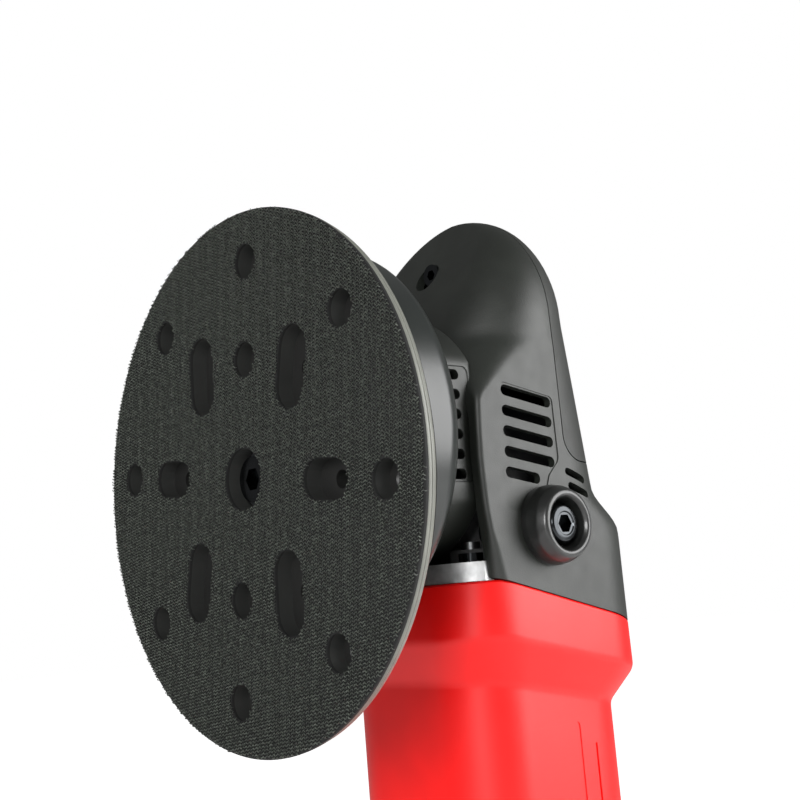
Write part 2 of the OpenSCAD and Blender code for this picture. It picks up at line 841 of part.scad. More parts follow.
// Square skirt of the cover, from the parting line's low end up to z
module round_prism_at(i, z, t = 30) {
    translate([0, reach, 0]) round_prism(collar_box_half - i, collar_box_half - i, corner_r - i, z - t, z);
}

// Everything below the slanted parting line, lowered by d; placed as in at_head
module below_parting(d = 0) {
    translate([0, cover_front, parting_front - d]) rotate([-parting_slope, 0, 0])
        box([-far, -far, -far], [far, far, 0]);
}

// Space taken by the soft back insert
module back_zone(g) {
    box([-far, grip_front - g, grip_low + grip_corner - g], [far, far, far]);
    box([-far, grip_front + grip_corner - g, grip_low - g], [far, far, far]);
    translate([0, grip_front + grip_corner, grip_low + grip_corner]) bar_x(grip_corner + g, -far, far);
}

// Cooling slot with round ends, cut along Y through a side wall
module vent_slot(len, h) {
    hull() for (y = [h / 2, len - h / 2]) translate([0, y, 0]) bar_x(h / 2, -10, 10, $fn = 24);
}

module head_cover() {
    color("#2a2b2d") at_head() difference() {
        head_form(0);
        difference() {
            head_form(cover_t);
            translate([0, 0, cover_screw_z])
                bar_y(cover_screw_recess_r + boss_wall, 0, cover_screw_s + boss_web);
        }
        intersection() {
            translate([0, reach, 0]) round_prism(collar_box_half - cover_t, collar_box_half - cover_t,
                corner_r - cover_t, -far, shoulder_z - cover_t);
            box([-far, 0, -far], [far, far, 0]);
        }
        below_parting();
        box([-collar_half + 0.6, 0, -far], [collar_half - 0.6, cover_front + 12, collar_r - 14]);
        bar_y(collar_r - 5, 0, cover_front + 12);
        difference() {
            back_zone(0);
            intersection() {
                head_form(grip_t);
                back_zone(1);
            }
        }
        for (k = [-1, 1], i = [0:vents - 1]) {
            len = i == vents - 1 ? vent_len * 0.58 : vent_len;
            translate([k * head_half, vent_front, vent_top - i * vent_pitch - vent_h / 2])
                rotate([vent_tilt, 0, 0]) vent_slot(len, vent_h);
        }
        for (k = [-1, 1], i = [0, 1]) translate([k * head_half, 101 + i * 2, -13 - i * 5])
            rotate([-18, 0, 0]) vent_slot(10, 2.4);
        translate([0, ring_s, ring_z]) {
            bar_x(side_bolt_r + 3, -far, far);
            for (k = [-1, 1]) bar_x(ring_r + side_gap, k > 0 ? head_half : -far, k > 0 ? far : -head_half);
        }
        translate([0, 0, cover_screw_z]) {
            bar_y(cover_screw_recess_r, 0, cover_screw_s);
            bar_y(screw_r + fit, 0, cover_screw_s + boss_web + 1);
        }
    }
}

module cover_screws() {
    color("#3b3d40") at_head() translate([0, cover_screw_s, cover_screw_z]) rotate([90, 0, 0])
        screw_z(screw_r, cover_screw_len, screw_head_r, screw_head_h);
}

module back_grip() {
    color("#3d3f41") at_head() intersection() {
        difference() {
            head_form(0);
            head_form(grip_t);
        }
        back_zone(-0.2);
    }
}

module side_rings() {
    base = head_half;
    color("#1d1e20") at_head() for (k = [-1, 1]) translate([0, ring_s, ring_z]) mirror([k < 0 ? 1 : 0, 0, 0])
        rotate([0, 90, 0]) rotate_extrude() polygon([[side_bolt_r + 0.3, base], [ring_r, base],
            [ring_r, base + 2], [ring_r - 1.2, base + ring_out - 1.5], [ring_r - 2.2, base + ring_out],
            [ring_recess_r + 0.6, base + ring_out], [ring_recess_r, base + ring_out - 1.5],
            [ring_recess_r, base + 2], [side_bolt_r + 0.3, base + 2]]);
}

module side_bolts() {
    base = head_half + 2;
    color("#56595d") at_head() for (k = [-1, 1]) translate([0, ring_s, ring_z]) mirror([k < 0 ? 1 : 0, 0, 0])
        difference() {
            union() {
                bar_x(side_bolt_head_r, base, base + side_bolt_head_h);
                bar_x(side_bolt_r, 18, base + eps);
            }
            translate([base + 2, 0, 0]) rotate([0, 90, 0]) cylinder(h = 8, r = 2.9, $fn = 6);
        }
}

// ---- Motor housing ----
// Slice of a square prism, following the parting line's slope at height z
module slanted_slice(half, r, z) {
    intersection() {
        round_prism(half, half, r, z - 40, z + 40);
        translate([0, -half * 0.6, z]) rotate([-parting_slope * 0.9, 0, 0])
            box([-far, -far, -0.2], [far, far, 0]);
    }
}

module below_slant(z) {
    translate([0, -body_half * 0.6, z]) rotate([-parting_slope * 0.9, 0, 0])
        box([-far, -far, -far], [far, far, 0]);
}

module motor_housing() {
    h = collar_box_half;
    room = cover_t + side_gap;
    color("#d8262b") difference() {
        union() {
            difference() {
                round_prism(h, h, corner_r, chamfer_high - 40, parting_z);
                below_slant(chamfer_high);
            }
            hull() {
                slanted_slice(h, corner_r, chamfer_high + 0.2);
                slanted_slice(body_half, corner_r, chamfer_low);
            }
            round_prism(body_half, body_half, corner_r, body_low, chamfer_high - 14);
        }
        // space above the parting line
        difference() {
            box([-far, -far, 0], [far, far, far * 2]);
            at_head() below_parting(0.2);
        }
        // hollow: wide at the collar, square around the field, round at the commutator
        hull() {
            round_prism(h - body_t, h - body_t, corner_r - body_t, chamfer_high + 6, parting_z + 1);
            round_prism(stator_half, stator_half, stator_corner_r, chamfer_low + 4, chamfer_low + 5);
        }
        round_prism(stator_half, stator_half, stator_corner_r, core_low, far);
        round_prism(stator_half - 1.5, stator_half - 1.5, stator_corner_r - 1.5, bulkhead_z + bulkhead_t + 8,
            core_low + 1);
        bar_z(motor_rear_bearing_r, motor_rear_bearing_low,
            motor_rear_bearing_low + motor_rear_bearing_w + 40);
        bar_z(rear_shaft_r + 2, 0, motor_rear_bearing_low + 1);
        round_prism(stator_half, stator_half, stator_corner_r, 0, bulkhead_z);
        translate([0, 0, brush_z]) bar_x(cap_r + fit, -far, far);
    }
    color("#d8262b") for (x = [-1, 1], y = [-1, 1]) difference() {
        intersection() {
            translate([x * plate_screw_at, y * plate_screw_at, 0]) bar_z(5, chamfer_high + 5, ledge_top);
            union() {
                round_prism(h - room, h - room, corner_r - room, 0, far * 2);
                intersection() {
                    round_prism(h - 0.5, h - 0.5, corner_r - 0.5, 0, far * 2);
                    at_head() below_parting(0.2);
                }
            }
        }
        translate([x * plate_screw_at, y * plate_screw_at, 0]) bar_z(screw_r + fit, ledge_top - 12, far * 2);
    }
}

module stator_core() {
    color("#6f7276") difference() {
        round_prism(stator_half, stator_half, stator_corner_r, core_low, core_high);
        bar_z(stator_bore_r, 0, far);
        for (k = [0, 180]) rotate(k) coil_sector(fit, core_low - 1, core_high + 1);
    }
}

// Sector of a field coil about the armature, centred on +X
module coil_sector(g, z0, z1) {
    a = 52;
    translate([0, 0, z0]) rotate(-a) rotate_extrude(angle = 2 * a, $fn = 96)
        translate([stator_bore_r - 1, 0]) square([coil_r - stator_bore_r + 1 + g, z1 - z0]);
}

module field_coils() {
    color("#a5622d") for (k = [0, 180]) rotate(k) difference() {
        coil_sector(0, core_low - coil_out, core_high + coil_out);
        bar_z(stator_bore_r, 0, far);
    }
}

module armature_shaft() {
    color("#a9abae") {
        bar_z(rear_shaft_r, motor_rear_bearing_low - 1, commutator_low);
        bar_z(shaft_r, commutator_low - eps, pinion_hub_low);
        bar_z(pinion_seat_r, pinion_hub_low - eps, spindle_h - (gear_pitch_r - tooth_len) + 0.4);
    }
}

module armature_core() {
    slots = 12;
    color("#7b7e82") difference() {
        ring_z(shaft_r, armature_r, core_low, core_high);
        for (i = [0:slots - 1]) rotate(i * 360 / slots)
            box([armature_r - 3.5, -1, core_low - 1], [armature_r + 1, 1, core_high + 1]);
    }
}

module armature_windings() {
    r = armature_r - 2.5;
    color("#b0702f") for (m = [0, 1]) translate([0, 0, m * (core_low + core_high)]) mirror([0, 0, m])
        rotate_extrude() polygon([[shaft_r, core_low], [r, core_low], [r + 0.6, core_low - 3],
            [r - 2, core_low - winding_h + 1], [r - 5, core_low - winding_h],
            [shaft_r, core_low - winding_h]]);
}

module commutator() {
    bars = 24;
    color("#b87b4a") difference() {
        ring_z(shaft_r, commutator_r, commutator_low, commutator_low + commutator_h);
        for (i = [0:bars - 1]) rotate(i * 360 / bars)
            box([commutator_r - 0.9, -0.2, commutator_low - 1], [commutator_r + 1, 0.2, far]);
    }
}

module cooling_fan() {
    hub = 9;
    color("#202124") {
        ring_z(shaft_r, hub, fan_low, fan_low + fan_h);
        ring_z(hub - eps, fan_r, fan_low + fan_h - 2, fan_low + fan_h);
        for (i = [0:fan_blades - 1]) rotate(i * 360 / fan_blades)
            translate([hub + 3, 0, fan_low + 1.5]) rotate(18) cube([fan_r - hub - 5, 1.4, fan_h - 2]);
    }
}

module baffle_ring() {
    color("#2b2c2f") translate([0, 0, baffle_low]) linear_extrude(baffle_t) difference() {
        round_rect(stator_half, stator_half, stator_corner_r);
        circle(armature_r - 1);
    }
}

module motor_bearing_inner() {
    color("#c3c5c7") {
        translate([0, 0, motor_front_bearing_low])
            race_inner(shaft_r, motor_front_bearing_r, motor_front_bearing_w);
        translate([0, 0, motor_rear_bearing_low])
            race_inner(rear_shaft_r, motor_rear_bearing_r, motor_rear_bearing_w);
    }
}

module motor_bearing_outer() {
    color("#b5b7b9") {
        translate([0, 0, motor_front_bearing_low])
            race_outer(shaft_r, motor_front_bearing_r, motor_front_bearing_w);
        translate([0, 0, motor_rear_bearing_low])
            race_outer(rear_shaft_r, motor_rear_bearing_r, motor_rear_bearing_w);
    }
}

module motor_bearing_balls() {
    color("#d5d7d9") {
        translate([0, 0, motor_front_bearing_low])
            ball_set(shaft_r, motor_front_bearing_r, motor_front_bearing_w, 8);
        translate([0, 0, motor_rear_bearing_low])
            ball_set(rear_shaft_r, motor_rear_bearing_r, motor_rear_bearing_w, 7);
    }
}

// ---- Brushes: placed by distance from the motor's axis, on both sides ----
module on_both_sides() {
    for (k = [0, 180]) rotate(k) translate([0, 0, brush_z]) children();
}

module carbon_brushes() {
    color("#2e2e30") on_both_sides()
        box([brush_in, -brush_half, -brush_half], [brush_in + brush_len, brush_half, brush_half]);
}

module brush_holders() {
    b = brush_half + side_gap / 4;
    color("#b3924e") on_both_sides() difference() {
        box([holder_in, -b - holder_wall, -b - holder_wall], [cap_in, b + holder_wall, b + holder_wall]);
        box([0, -b, -b], [far, b, b]);
    }
}

module brush_springs() {
    color("#9b9da0") on_both_sides() difference() {
        bar_x(brush_half - 0.4, brush_in + brush_len, cap_in);
        bar_x(brush_half - 1.2, brush_in + brush_len - 1, cap_in + 1);
    }
}

module brush_caps() {
    color("#1f2022") on_both_sides() difference() {
        bar_x(cap_r, cap_in, body_half - 0.4);
        box([body_half - 1.6, -cap_r * 0.7, -0.7], [body_half + 1, cap_r * 0.7, 0.7]);
    }
}

// ---- Rear handle ----
// Solid form of the handle, pulled in by i on every side
module handle_form(i) {
    round_prism(butt_half - i, butt_half - i, 16 - i, cap_t + (i > 0 ? 2 : 0), butt_top);
    hull() {
        round_prism(butt_half - i, butt_half - i, 16 - i, butt_top - 1, butt_top, $fn = 48);
        round_prism(grip_half_w - i, grip_half_d - i, 14 - i, grip_low_z, grip_low_z + 1, $fn = 48);
    }
    hull() {
        round_prism(grip_half_w - i, grip_half_d - i, 14 - i, grip_low_z, grip_low_z + 1, $fn = 48);
        round_prism(grip_half_w + 1 - i, grip_half_d + 1 - i, 15 - i, grip_high_z, grip_high_z + 1, $fn = 48);
    }
    hull() {
        round_prism(grip_half_w + 1 - i, grip_half_d + 1 - i, 15 - i, grip_high_z, grip_high_z + 1, $fn = 48);
        round_prism(body_half - i, body_half - i, corner_r - i, handle_h - 9, handle_h - 8, $fn = 48);
    }
    round_prism(body_half - i, body_half - i, corner_r - i, handle_h - 9, handle_h);
}

module handle_shell() {
    difference() {
        handle_form(0);
        difference() {
            union() {
                handle_form(handle_t);
                round_prism(body_half - handle_t, body_half - handle_t, corner_r - handle_t, handle_h - 1,
                    handle_h + 1);
            }
            for (z = handle_screw_zs) translate([0, handle_screw_y, z]) bar_x(4, -far, far);
            translate([0, trigger_pin_y, trigger_pin_z]) difference() {
                bar_x(4, -far, far);
                box([-trigger_w / 2 - side_gap, -far, -far], [trigger_w / 2 + side_gap, far, far]);
            }
        }
        // trigger, its pin, the lock button, the dial and the gland
        box([-trigger_w / 2 - side_gap, -far, trigger_low - 1.5],
            [trigger_w / 2 + side_gap, trigger_pin_y + 5, trigger_high + 6]);
        translate([0, trigger_pin_y, trigger_pin_z])
            bar_x(trigger_pin_r + fit, -trigger_w / 2 - 8, trigger_w / 2 + 8);
        translate([0, lock_y, lock_z]) bar_x(lock_r + running_gap, -far, 0);
        box([-dial_w / 2 - side_gap, 0, dial_z - dial_r - 1],
            [dial_w / 2 + side_gap, far, dial_z + dial_r + 1]);
        translate([0, gland_y, 0]) bar_z(gland_r + fit, 0, cap_t + 6);
        for (z = handle_screw_zs) translate([0, handle_screw_y, z]) {
            bar_x(screw_r - 0.4 + fit, -18, far);
            bar_x(screw_head_r - 0.6, grip_half_w - 4, far);
        }
    }
}

module handle_left() {
    color("#26272a") intersection() {
        handle_shell();
        box([-far, -far, -far], [0, far, far]);
    }
}

module handle_right() {
    color("#26272a") intersection() {
        handle_shell();
        box([0, -far, -far], [far, far, far]);
    }
}

module handle_screws() {
    color("#3b3d40") for (z = handle_screw_zs) translate([grip_half_w - 4, handle_screw_y, z])
        rotate([0, 90, 0]) screw_z(screw_r - 0.4, 36, screw_head_r - 0.8, 2);
}

module butt_cap() {
    color("#1c1d1f") difference() {
        round_prism(butt_half, butt_half, 16, 0, cap_t);
        translate([0, gland_y, 0]) bar_z(gland_r + fit, -1, cap_t + 1);
    }
}

module cord_gland() {
    color("#222326") translate([0, gland_y, 0]) difference() {
        union() {
            bar_z(gland_r, 0.6, gland_len);
            bar_z(gland_r + 2.5, cap_t + 2, gland_len - 3);
        }
        bar_z(gland_bore_r, -1, gland_len + 1);
    }
}

// Trigger: a curved paddle on a pin at its upper end
module trigger() {
    face = -grip_half_d - trigger_proud;
    back = face + trigger_depth;
    color("#1b1c1e") difference() {
        translate([-trigger_w / 2, 0, 0]) rotate([90, 0, 90]) linear_extrude(trigger_w) union() {
            polygon([[face + 3.5, trigger_low], [back, trigger_low], [trigger_pin_y + 2, trigger_pin_z - 8],
                [trigger_pin_y + 3, trigger_pin_z], [trigger_pin_y - 3.4, trigger_pin_z + 3.2],
                [face + 4.5, trigger_high - 5], [face + 2.2, trigger_high - 12],
                [face + 1.6, trigger_low + 26], [face, trigger_low + 8], [face + 0.8, trigger_low + 2]]);
            translate([trigger_pin_y, trigger_pin_z]) circle(3.6);
        }
        translate([0, trigger_pin_y, trigger_pin_z]) bar_x(trigger_pin_r + running_gap, -far, far);
    }
}

module trigger_pin() {
    color("#9a9c9f") translate([0, trigger_pin_y, trigger_pin_z])
        bar_x(trigger_pin_r, -trigger_w / 2 - 7.5, trigger_w / 2 + 7.5);
}

// Trigger's sloping back face at a height
function trigger_back_at(z) = let (back = -grip_half_d - trigger_proud + trigger_depth)
    back + (trigger_pin_y + 2 - back) * (z - trigger_low) / (trigger_pin_z - 8 - trigger_low);

module trigger_spring() {
    back = trigger_back_at(spring_z + spring_r) + fit;
    color("#a9abad") translate([0, 0, spring_z]) difference() {
        bar_y(spring_r, back, switch_front);
        bar_y(spring_r - 0.8, back - 1, switch_front + 1);
    }
}

module switch_body() {
    color("#2c2d30") {
        box([-8, switch_front, trigger_low + 4], [8, switch_front + 20, trigger_low + 40]);
        box([-3, switch_front + 20 - eps, trigger_low + 8], [3, switch_front + 23, trigger_low + 36]);
    }
}

module lock_button() {
    color("#1b1c1e") translate([0, lock_y, lock_z]) union() {
        bar_x(lock_r, -grip_half_w - 1 - lock_proud, -grip_half_w - 1 - lock_proud + lock_len);
        bar_x(lock_r + 1.2, -grip_half_w + handle_t - 0.6, -grip_half_w + handle_t + 1);
    }
}

module speed_dial() {
    ribs = 24;
    color("#1b1c1e") translate([0, dial_y, dial_z]) difference() {
        bar_x(dial_r, -dial_w / 2, dial_w / 2);
        for (i = [0:ribs - 1]) rotate([i * 360 / ribs, 0, 0]) translate([0, dial_r, 0])
            bar_x(0.6, -dial_w, dial_w, $fn = 16);
        bar_x(dial_shaft_r + running_gap, -far, far);
    }
}

module speed_controller() {
    z = dial_z;
    color("#2d5a3c") {
        // shaft of the potentiometer, its case, and the board with its potted regulator
        translate([0, dial_y, z]) bar_x(dial_shaft_r, -dial_w / 2 - 1, dial_w / 2 + 2);
        box([dial_w / 2 + 1.5, dial_y - 8, z - 8], [dial_w / 2 + 9, dial_y + 6, z + 8]);
        box([dial_w / 2 + 4, dial_y - 14, z - 28], [dial_w / 2 + 6, dial_y - 6, z + 6]);
    }
}

hook_face();
pad_cushion();
pad_dish();
pad_insert();
pad_bolt();
orbit_spindle();
orbit_bearing_inner();
orbit_bearing_outer();
orbit_bearing_balls();
orbit_clip();
counterweight();
drive_spindle();
bevel_gear();
gear_clip();
spindle_bearing_inner();
spindle_bearing_outer();
spindle_bearing_balls();
rear_bushing();
bearing_retainer();
gear_case();
gear_case_screws();
bearing_plate();
plate_screws();
shroud();
shroud_screws();
vent_collar();
head_cover();
cover_screws();
back_grip();
side_rings();
side_bolts();
motor_housing();
stator_core();
field_coils();
armature_shaft();
armature_core();
armature_windings();
commutator();
cooling_fan();
pinion();
motor_bearing_inner();
motor_bearing_outer();
motor_bearing_balls();
baffle_ring();
brush_holders();
carbon_brushes();
brush_springs();
brush_caps();
handle_left();
handle_right();
handle_screws();
butt_cap();
trigger();
trigger_pin();
trigger_spring();
switch_body();
lock_button();
speed_dial();
speed_controller();
cord_gland();
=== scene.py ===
import json
import math
import random

import bmesh
import bpy
from bpy.props import FloatProperty, FloatVectorProperty, PointerProperty
from mathutils import Matrix, Vector


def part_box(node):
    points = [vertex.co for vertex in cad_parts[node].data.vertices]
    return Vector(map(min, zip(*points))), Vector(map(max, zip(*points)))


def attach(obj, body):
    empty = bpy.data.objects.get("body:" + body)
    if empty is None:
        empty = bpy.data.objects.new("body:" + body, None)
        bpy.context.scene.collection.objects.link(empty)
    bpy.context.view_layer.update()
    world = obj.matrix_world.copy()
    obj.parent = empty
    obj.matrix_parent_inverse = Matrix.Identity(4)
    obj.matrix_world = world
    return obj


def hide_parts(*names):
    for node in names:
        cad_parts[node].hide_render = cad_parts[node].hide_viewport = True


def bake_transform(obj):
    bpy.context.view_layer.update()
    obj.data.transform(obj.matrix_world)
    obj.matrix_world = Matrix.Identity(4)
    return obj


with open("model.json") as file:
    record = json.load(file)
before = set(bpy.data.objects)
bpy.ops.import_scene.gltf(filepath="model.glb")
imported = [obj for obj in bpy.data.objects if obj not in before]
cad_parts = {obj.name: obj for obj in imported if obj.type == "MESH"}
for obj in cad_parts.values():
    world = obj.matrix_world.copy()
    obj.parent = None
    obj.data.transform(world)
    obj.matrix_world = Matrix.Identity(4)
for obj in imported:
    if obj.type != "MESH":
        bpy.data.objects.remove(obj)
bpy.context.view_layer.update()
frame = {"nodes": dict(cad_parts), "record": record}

bl_info = {
    "name": "Dual action polisher",
    "version": (1, 0, 0),
    "blender": (4, 5, 0),
    "location": "View3D > Sidebar > Polisher",
    "description": "Builds the visible pieces and finishes of an upright dual action polisher",
    "category": "Add Mesh",
}

MM = 0.001
RECORD = frame["record"]
JOINTS = {j["name"]: j for j in RECORD["behaviour"]["joints"]}
SPINDLE = Vector(JOINTS["drive_spin"]["pos_m"])
PAD_AXIS = Vector(JOINTS["pad_spin"]["pos_m"])
PATTERN_TURN = math.radians(-7)


def colour(name, description, value):
    """A colour property holding linear values of an sRGB hex."""
    return FloatVectorProperty(name=name, description=description, subtype="COLOR", size=4,
                               min=0.0, max=1.0, default=linear(value))


def linear(value):
    """sRGB hex such as '#b0161b' to linear red, green, blue and alpha."""
    parts = [int(value[i:i + 2], 16) / 255 for i in (1, 3, 5)]
    return tuple(c / 12.92 if c <= 0.04045 else ((c + 0.055) / 1.055) ** 2.4 for c in parts) + (1.0,)


def size(name, description, millimetres):
    return FloatProperty(name=name, description=description, default=millimetres * MM,
                         unit="LENGTH", subtype="DISTANCE")


# ---------------------------------------------------------------- settings

class PolisherPadSettings(bpy.types.PropertyGroup):
    radius: size("Pad radius", "Radius of the backing pad", 75)
    hook_rise: size("Hook height", "Height of one hook above its tape", 0.8)
    hook_row: size("Hook row", "Distance between hooks along a column", 0.92)
    hook_column: size("Hook column", "Distance between columns of hooks", 0.82)
    tape: colour("Hook tape", "Woven nylon tape and its hooks", "#070807")
    rim: colour("Pad rim", "Smooth moulded polyurethane rim", "#6c6d66")


class PolisherHeadSettings(bpy.types.PropertyGroup):
    half_width: size("Head half width", "Half the width of the head cover", 38.5)
    wall: size("Cover wall", "Wall of the head cover", 2.6)
    plastic: colour("Head plastic", "Black glass-filled nylon", "#1a1d19")
    shroud: colour("Shroud plastic", "Satin black nylon of the shroud", "#1c201e")
    rubber: colour("Soft grip", "Soft rubber of the back insert", "#1d1f1c")


class PolisherBodySettings(bpy.types.PropertyGroup):
    collar_half: size("Collar half width", "Half the width of the motor housing's collar", 39)
    body_half: size("Body half width", "Half the width of the motor housing's body", 33)
    corner: size("Corner radius", "Corner radius of the motor housing", 20)
    red: colour("Housing red", "Moulded red nylon", "#ea0503")


class PolisherHandleSettings(bpy.types.PropertyGroup):
    plastic: colour("Handle plastic", "Textured black nylon of the rear handle", "#1c1d1f")


class PolisherStageSettings(bpy.types.PropertyGroup):
    lens: FloatProperty(name="Lens", description="Focal length in millimetres", default=54.41)
    pan: FloatProperty(name="Pan", description="Camera's turn about the vertical", subtype="ANGLE",
                       default=math.radians(48.555))
    tilt: FloatProperty(name="Tilt", description="Camera's tilt above the level", subtype="ANGLE",
                        default=math.radians(9.178))
    roll: FloatProperty(name="Roll", description="Camera's roll about its own axis", subtype="ANGLE",
                        default=math.radians(-4.696))
    key: FloatProperty(name="Key light", description="Power of the key light", unit="POWER", default=11.0)
    fill: FloatProperty(name="Front light", description="Power of the front light", unit="POWER", default=15)
    ambient: FloatProperty(name="Ambient", description="Strength of the surrounding light", default=0.2)
    backdrop: colour("Backdrop", "Colour of the floor and background", "#ffffff")


# ---------------------------------------------------------------- materials

def new_material(name):
    material = bpy.data.materials.new(name)
    material.use_nodes = True
    tree = material.node_tree
    shader = next(n for n in tree.nodes if n.type == "BSDF_PRINCIPLED")
    return material, tree, shader


def add(tree, kind, settings=(), links=()):
    """Adds a node; settings sets its attributes or sockets, links joins sockets to it."""
    node = tree.nodes.new(kind)
    for key, value in dict(settings).items():
        if hasattr(node, key):
            setattr(node, key, value)
        else:
            node.inputs[key].default_value = value
    for key, source in dict(links).items():
        tree.links.new(source, node.inputs[key])
    return node


def shade(value, factor):
    """A colour made darker or lighter by a factor."""
    return tuple(min(1.0, c * factor) for c in value[:3]) + (1.0,)


def grain(tree, shader, grain_mm, depth_mm):
    """Bump of a fine surface grain whose size is given in millimetres; returns the place it was taken at."""
    place = add(tree, "ShaderNodeTexCoord").outputs["Object"]
    noise = add(tree, "ShaderNodeTexNoise", {"Scale": 1 / (grain_mm * MM), "Detail": 3.0}, {"Vector": place})
    bump = add(tree, "ShaderNodeBump", {"Strength": 1.0, "Distance": depth_mm * MM},
               {"Height": noise.outputs["Fac"]})
    tree.links.new(bump.outputs["Normal"], shader.inputs["Normal"])
    return place


def varied(tree, shader, place, base, patch_mm, low, high):
    """Slow variation of the base colour over patches of a size in millimetres."""
    noise = add(tree, "ShaderNodeTexNoise", {"Scale": 1 / (patch_mm * MM), "Detail": 2.0}, {"Vector": place})
    ramp = add(tree, "ShaderNodeValToRGB", {}, {"Fac": noise.outputs["Fac"]})
    for element, position, factor in zip(ramp.color_ramp.elements, (0.35, 0.65), (low, high)):
        element.position = position
        element.color = shade(base, factor)
    tree.links.new(ramp.outputs["Color"], shader.inputs["Base Color"])


def roughened(tree, shader, place, patch_mm, low, high):
    """Slow variation of the roughness over patches of a size in millimetres."""
    noise = add(tree, "ShaderNodeTexNoise", {"Scale": 1 / (patch_mm * MM), "Detail": 3.0}, {"Vector": place})
    ranged = add(tree, "ShaderNodeMapRange", {"To Min": low, "To Max": high}, {"Value": noise.outputs["Fac"]})
    tree.links.new(ranged.outputs["Result"], shader.inputs["Roughness"])


def textured_nylon(name, base, rough=(0.42, 0.55), grain_mm=0.35, depth_mm=0.04):
    """Glass-filled nylon moulded in a spark-eroded tool: a fine even grain that greys in the light."""
    material, tree, shader = new_material(name)
    place = grain(tree, shader, grain_mm, depth_mm)
    varied(tree, shader, place, base, 14, 0.88, 1.15)
    roughened(tree, shader, place, 5, *rough)
    shader.inputs["IOR"].default_value = 1.53
    return material


def satin_nylon(name, base, rough=(0.26, 0.34), shine=0.5):
    """Nylon moulded in a polished tool: smooth, with soft broad highlights and faint flow marks."""
    material, tree, shader = new_material(name)
    place = grain(tree, shader, 1.1, 0.012)
    varied(tree, shader, place, base, 22, 0.95, 1.05)
    roughened(tree, shader, place, 9, *rough)
    shader.inputs["IOR"].default_value = 1.53
    shader.inputs["Specular IOR Level"].default_value = shine
    return material


def moulded_rubber(name, base, rough=(0.5, 0.62), coat=0.0):
    """Moulded thermoplastic rubber: matte and soft-edged, with a slight bloom."""
    material, tree, shader = new_material(name)
    place = grain(tree, shader, 0.5, 0.02)
    varied(tree, shader, place, base, 10, 0.85, 1.2)
    roughened(tree, shader, place, 4, *rough)
    shader.inputs["IOR"].default_value = 1.52
    shader.inputs["Coat Weight"].default_value = coat
    return material


def cast_urethane(name, base):
    """Cast polyurethane: waxy and slightly see-through at its edge, with fine mould lines."""
    material, tree, shader = new_material(name)
    place = grain(tree, shader, 0.8, 0.02)
    varied(tree, shader, place, base, 12, 0.86, 1.1)
    roughened(tree, shader, place, 6, 0.3, 0.42)
    shader.inputs["IOR"].default_value = 1.5
    shader.inputs["Subsurface Weight"].default_value = 0.15
    shader.inputs["Subsurface Radius"].default_value = (0.003, 0.003, 0.003)
    shader.inputs["Subsurface Scale"].default_value = 1.0
    return material


def machined_metal(name, base, rough):
    """Turned or ground steel and other metals: fine tool lines along one direction and small stains."""
    material, tree, shader = new_material(name)
    place = add(tree, "ShaderNodeTexCoord").outputs["Object"]
    stretch = Vector((0.02, 0.02, 1.0))
    line_mm = 0.12
    mapping = add(tree, "ShaderNodeMapping", {"Scale": stretch}, {"Vector": place})
    lines = add(tree, "ShaderNodeTexNoise", {"Scale": 1 / (line_mm * MM), "Detail": 2.0},
                {"Vector": mapping.outputs["Vector"]})
    bump = add(tree, "ShaderNodeBump", {"Strength": 0.5, "Distance": 0.01 * MM}, {"Height": lines.outputs["Fac"]})
    tree.links.new(bump.outputs["Normal"], shader.inputs["Normal"])
    varied(tree, shader, place, base, 6, 0.85, 1.08)
    roughened(tree, shader, place, 3, *rough)
    shader.inputs["Metallic"].default_value = 1.0
    return material


def die_cast(name, base, rough=(0.4, 0.55), metallic=1.0):
    """Cast metal, bare or coated: a pebbled skin with cloudy flow marks."""
    material, tree, shader = new_material(name)
    place = grain(tree, shader, 0.9, 0.05)
    varied(tree, shader, place, base, 4, 0.8, 1.12)
    roughened(tree, shader, place, 2.5, *rough)
    shader.inputs["Metallic"].default_value = metallic
    return material


def hook_nylon_painted_glints(name, base):
    """Drawn nylon monofilament, heat set into hooks: its base colour is lightened up to twice over small patches as
    painted glints, and darkened in others.
    """
    material, tree, shader = new_material(name)
    place = add(tree, "ShaderNodeTexCoord").outputs["Object"]
    # painted glints: base colour raised up to 2.0 times in 1.6 mm patches, lowered to 0.45 times in others
    varied(tree, shader, place, base, 1.6, 0.45, 2.0)
    shader.inputs["Roughness"].default_value = 0.34
    shader.inputs["IOR"].default_value = 1.55
    return material


def woven_tape(name, base):
    """Plain-woven nylon tape under the hooks: dark, with its weft showing as ribs."""
    material, tree, shader = new_material(name)
    place = add(tree, "ShaderNodeTexCoord").outputs["Object"]
    mapping = add(tree, "ShaderNodeMapping", {"Scale": Vector((0.0, 0.0, 1.0))}, {"Vector": place})
    weft = add(tree, "ShaderNodeTexWave", {"bands_direction": "Z", "Scale": 0.05 / (0.46 * MM), "Distortion": 0.6},
               {"Vector": mapping.outputs["Vector"]})
    bump = add(tree, "ShaderNodeBump", {"Strength": 0.8, "Distance": 0.1 * MM}, {"Height": weft.outputs["Fac"]})
    tree.links.new(bump.outputs["Normal"], shader.inputs["Normal"])
    varied(tree, shader, place, base, 2.0, 0.6, 1.1)
    shader.inputs["Roughness"].default_value = 0.8
    return material


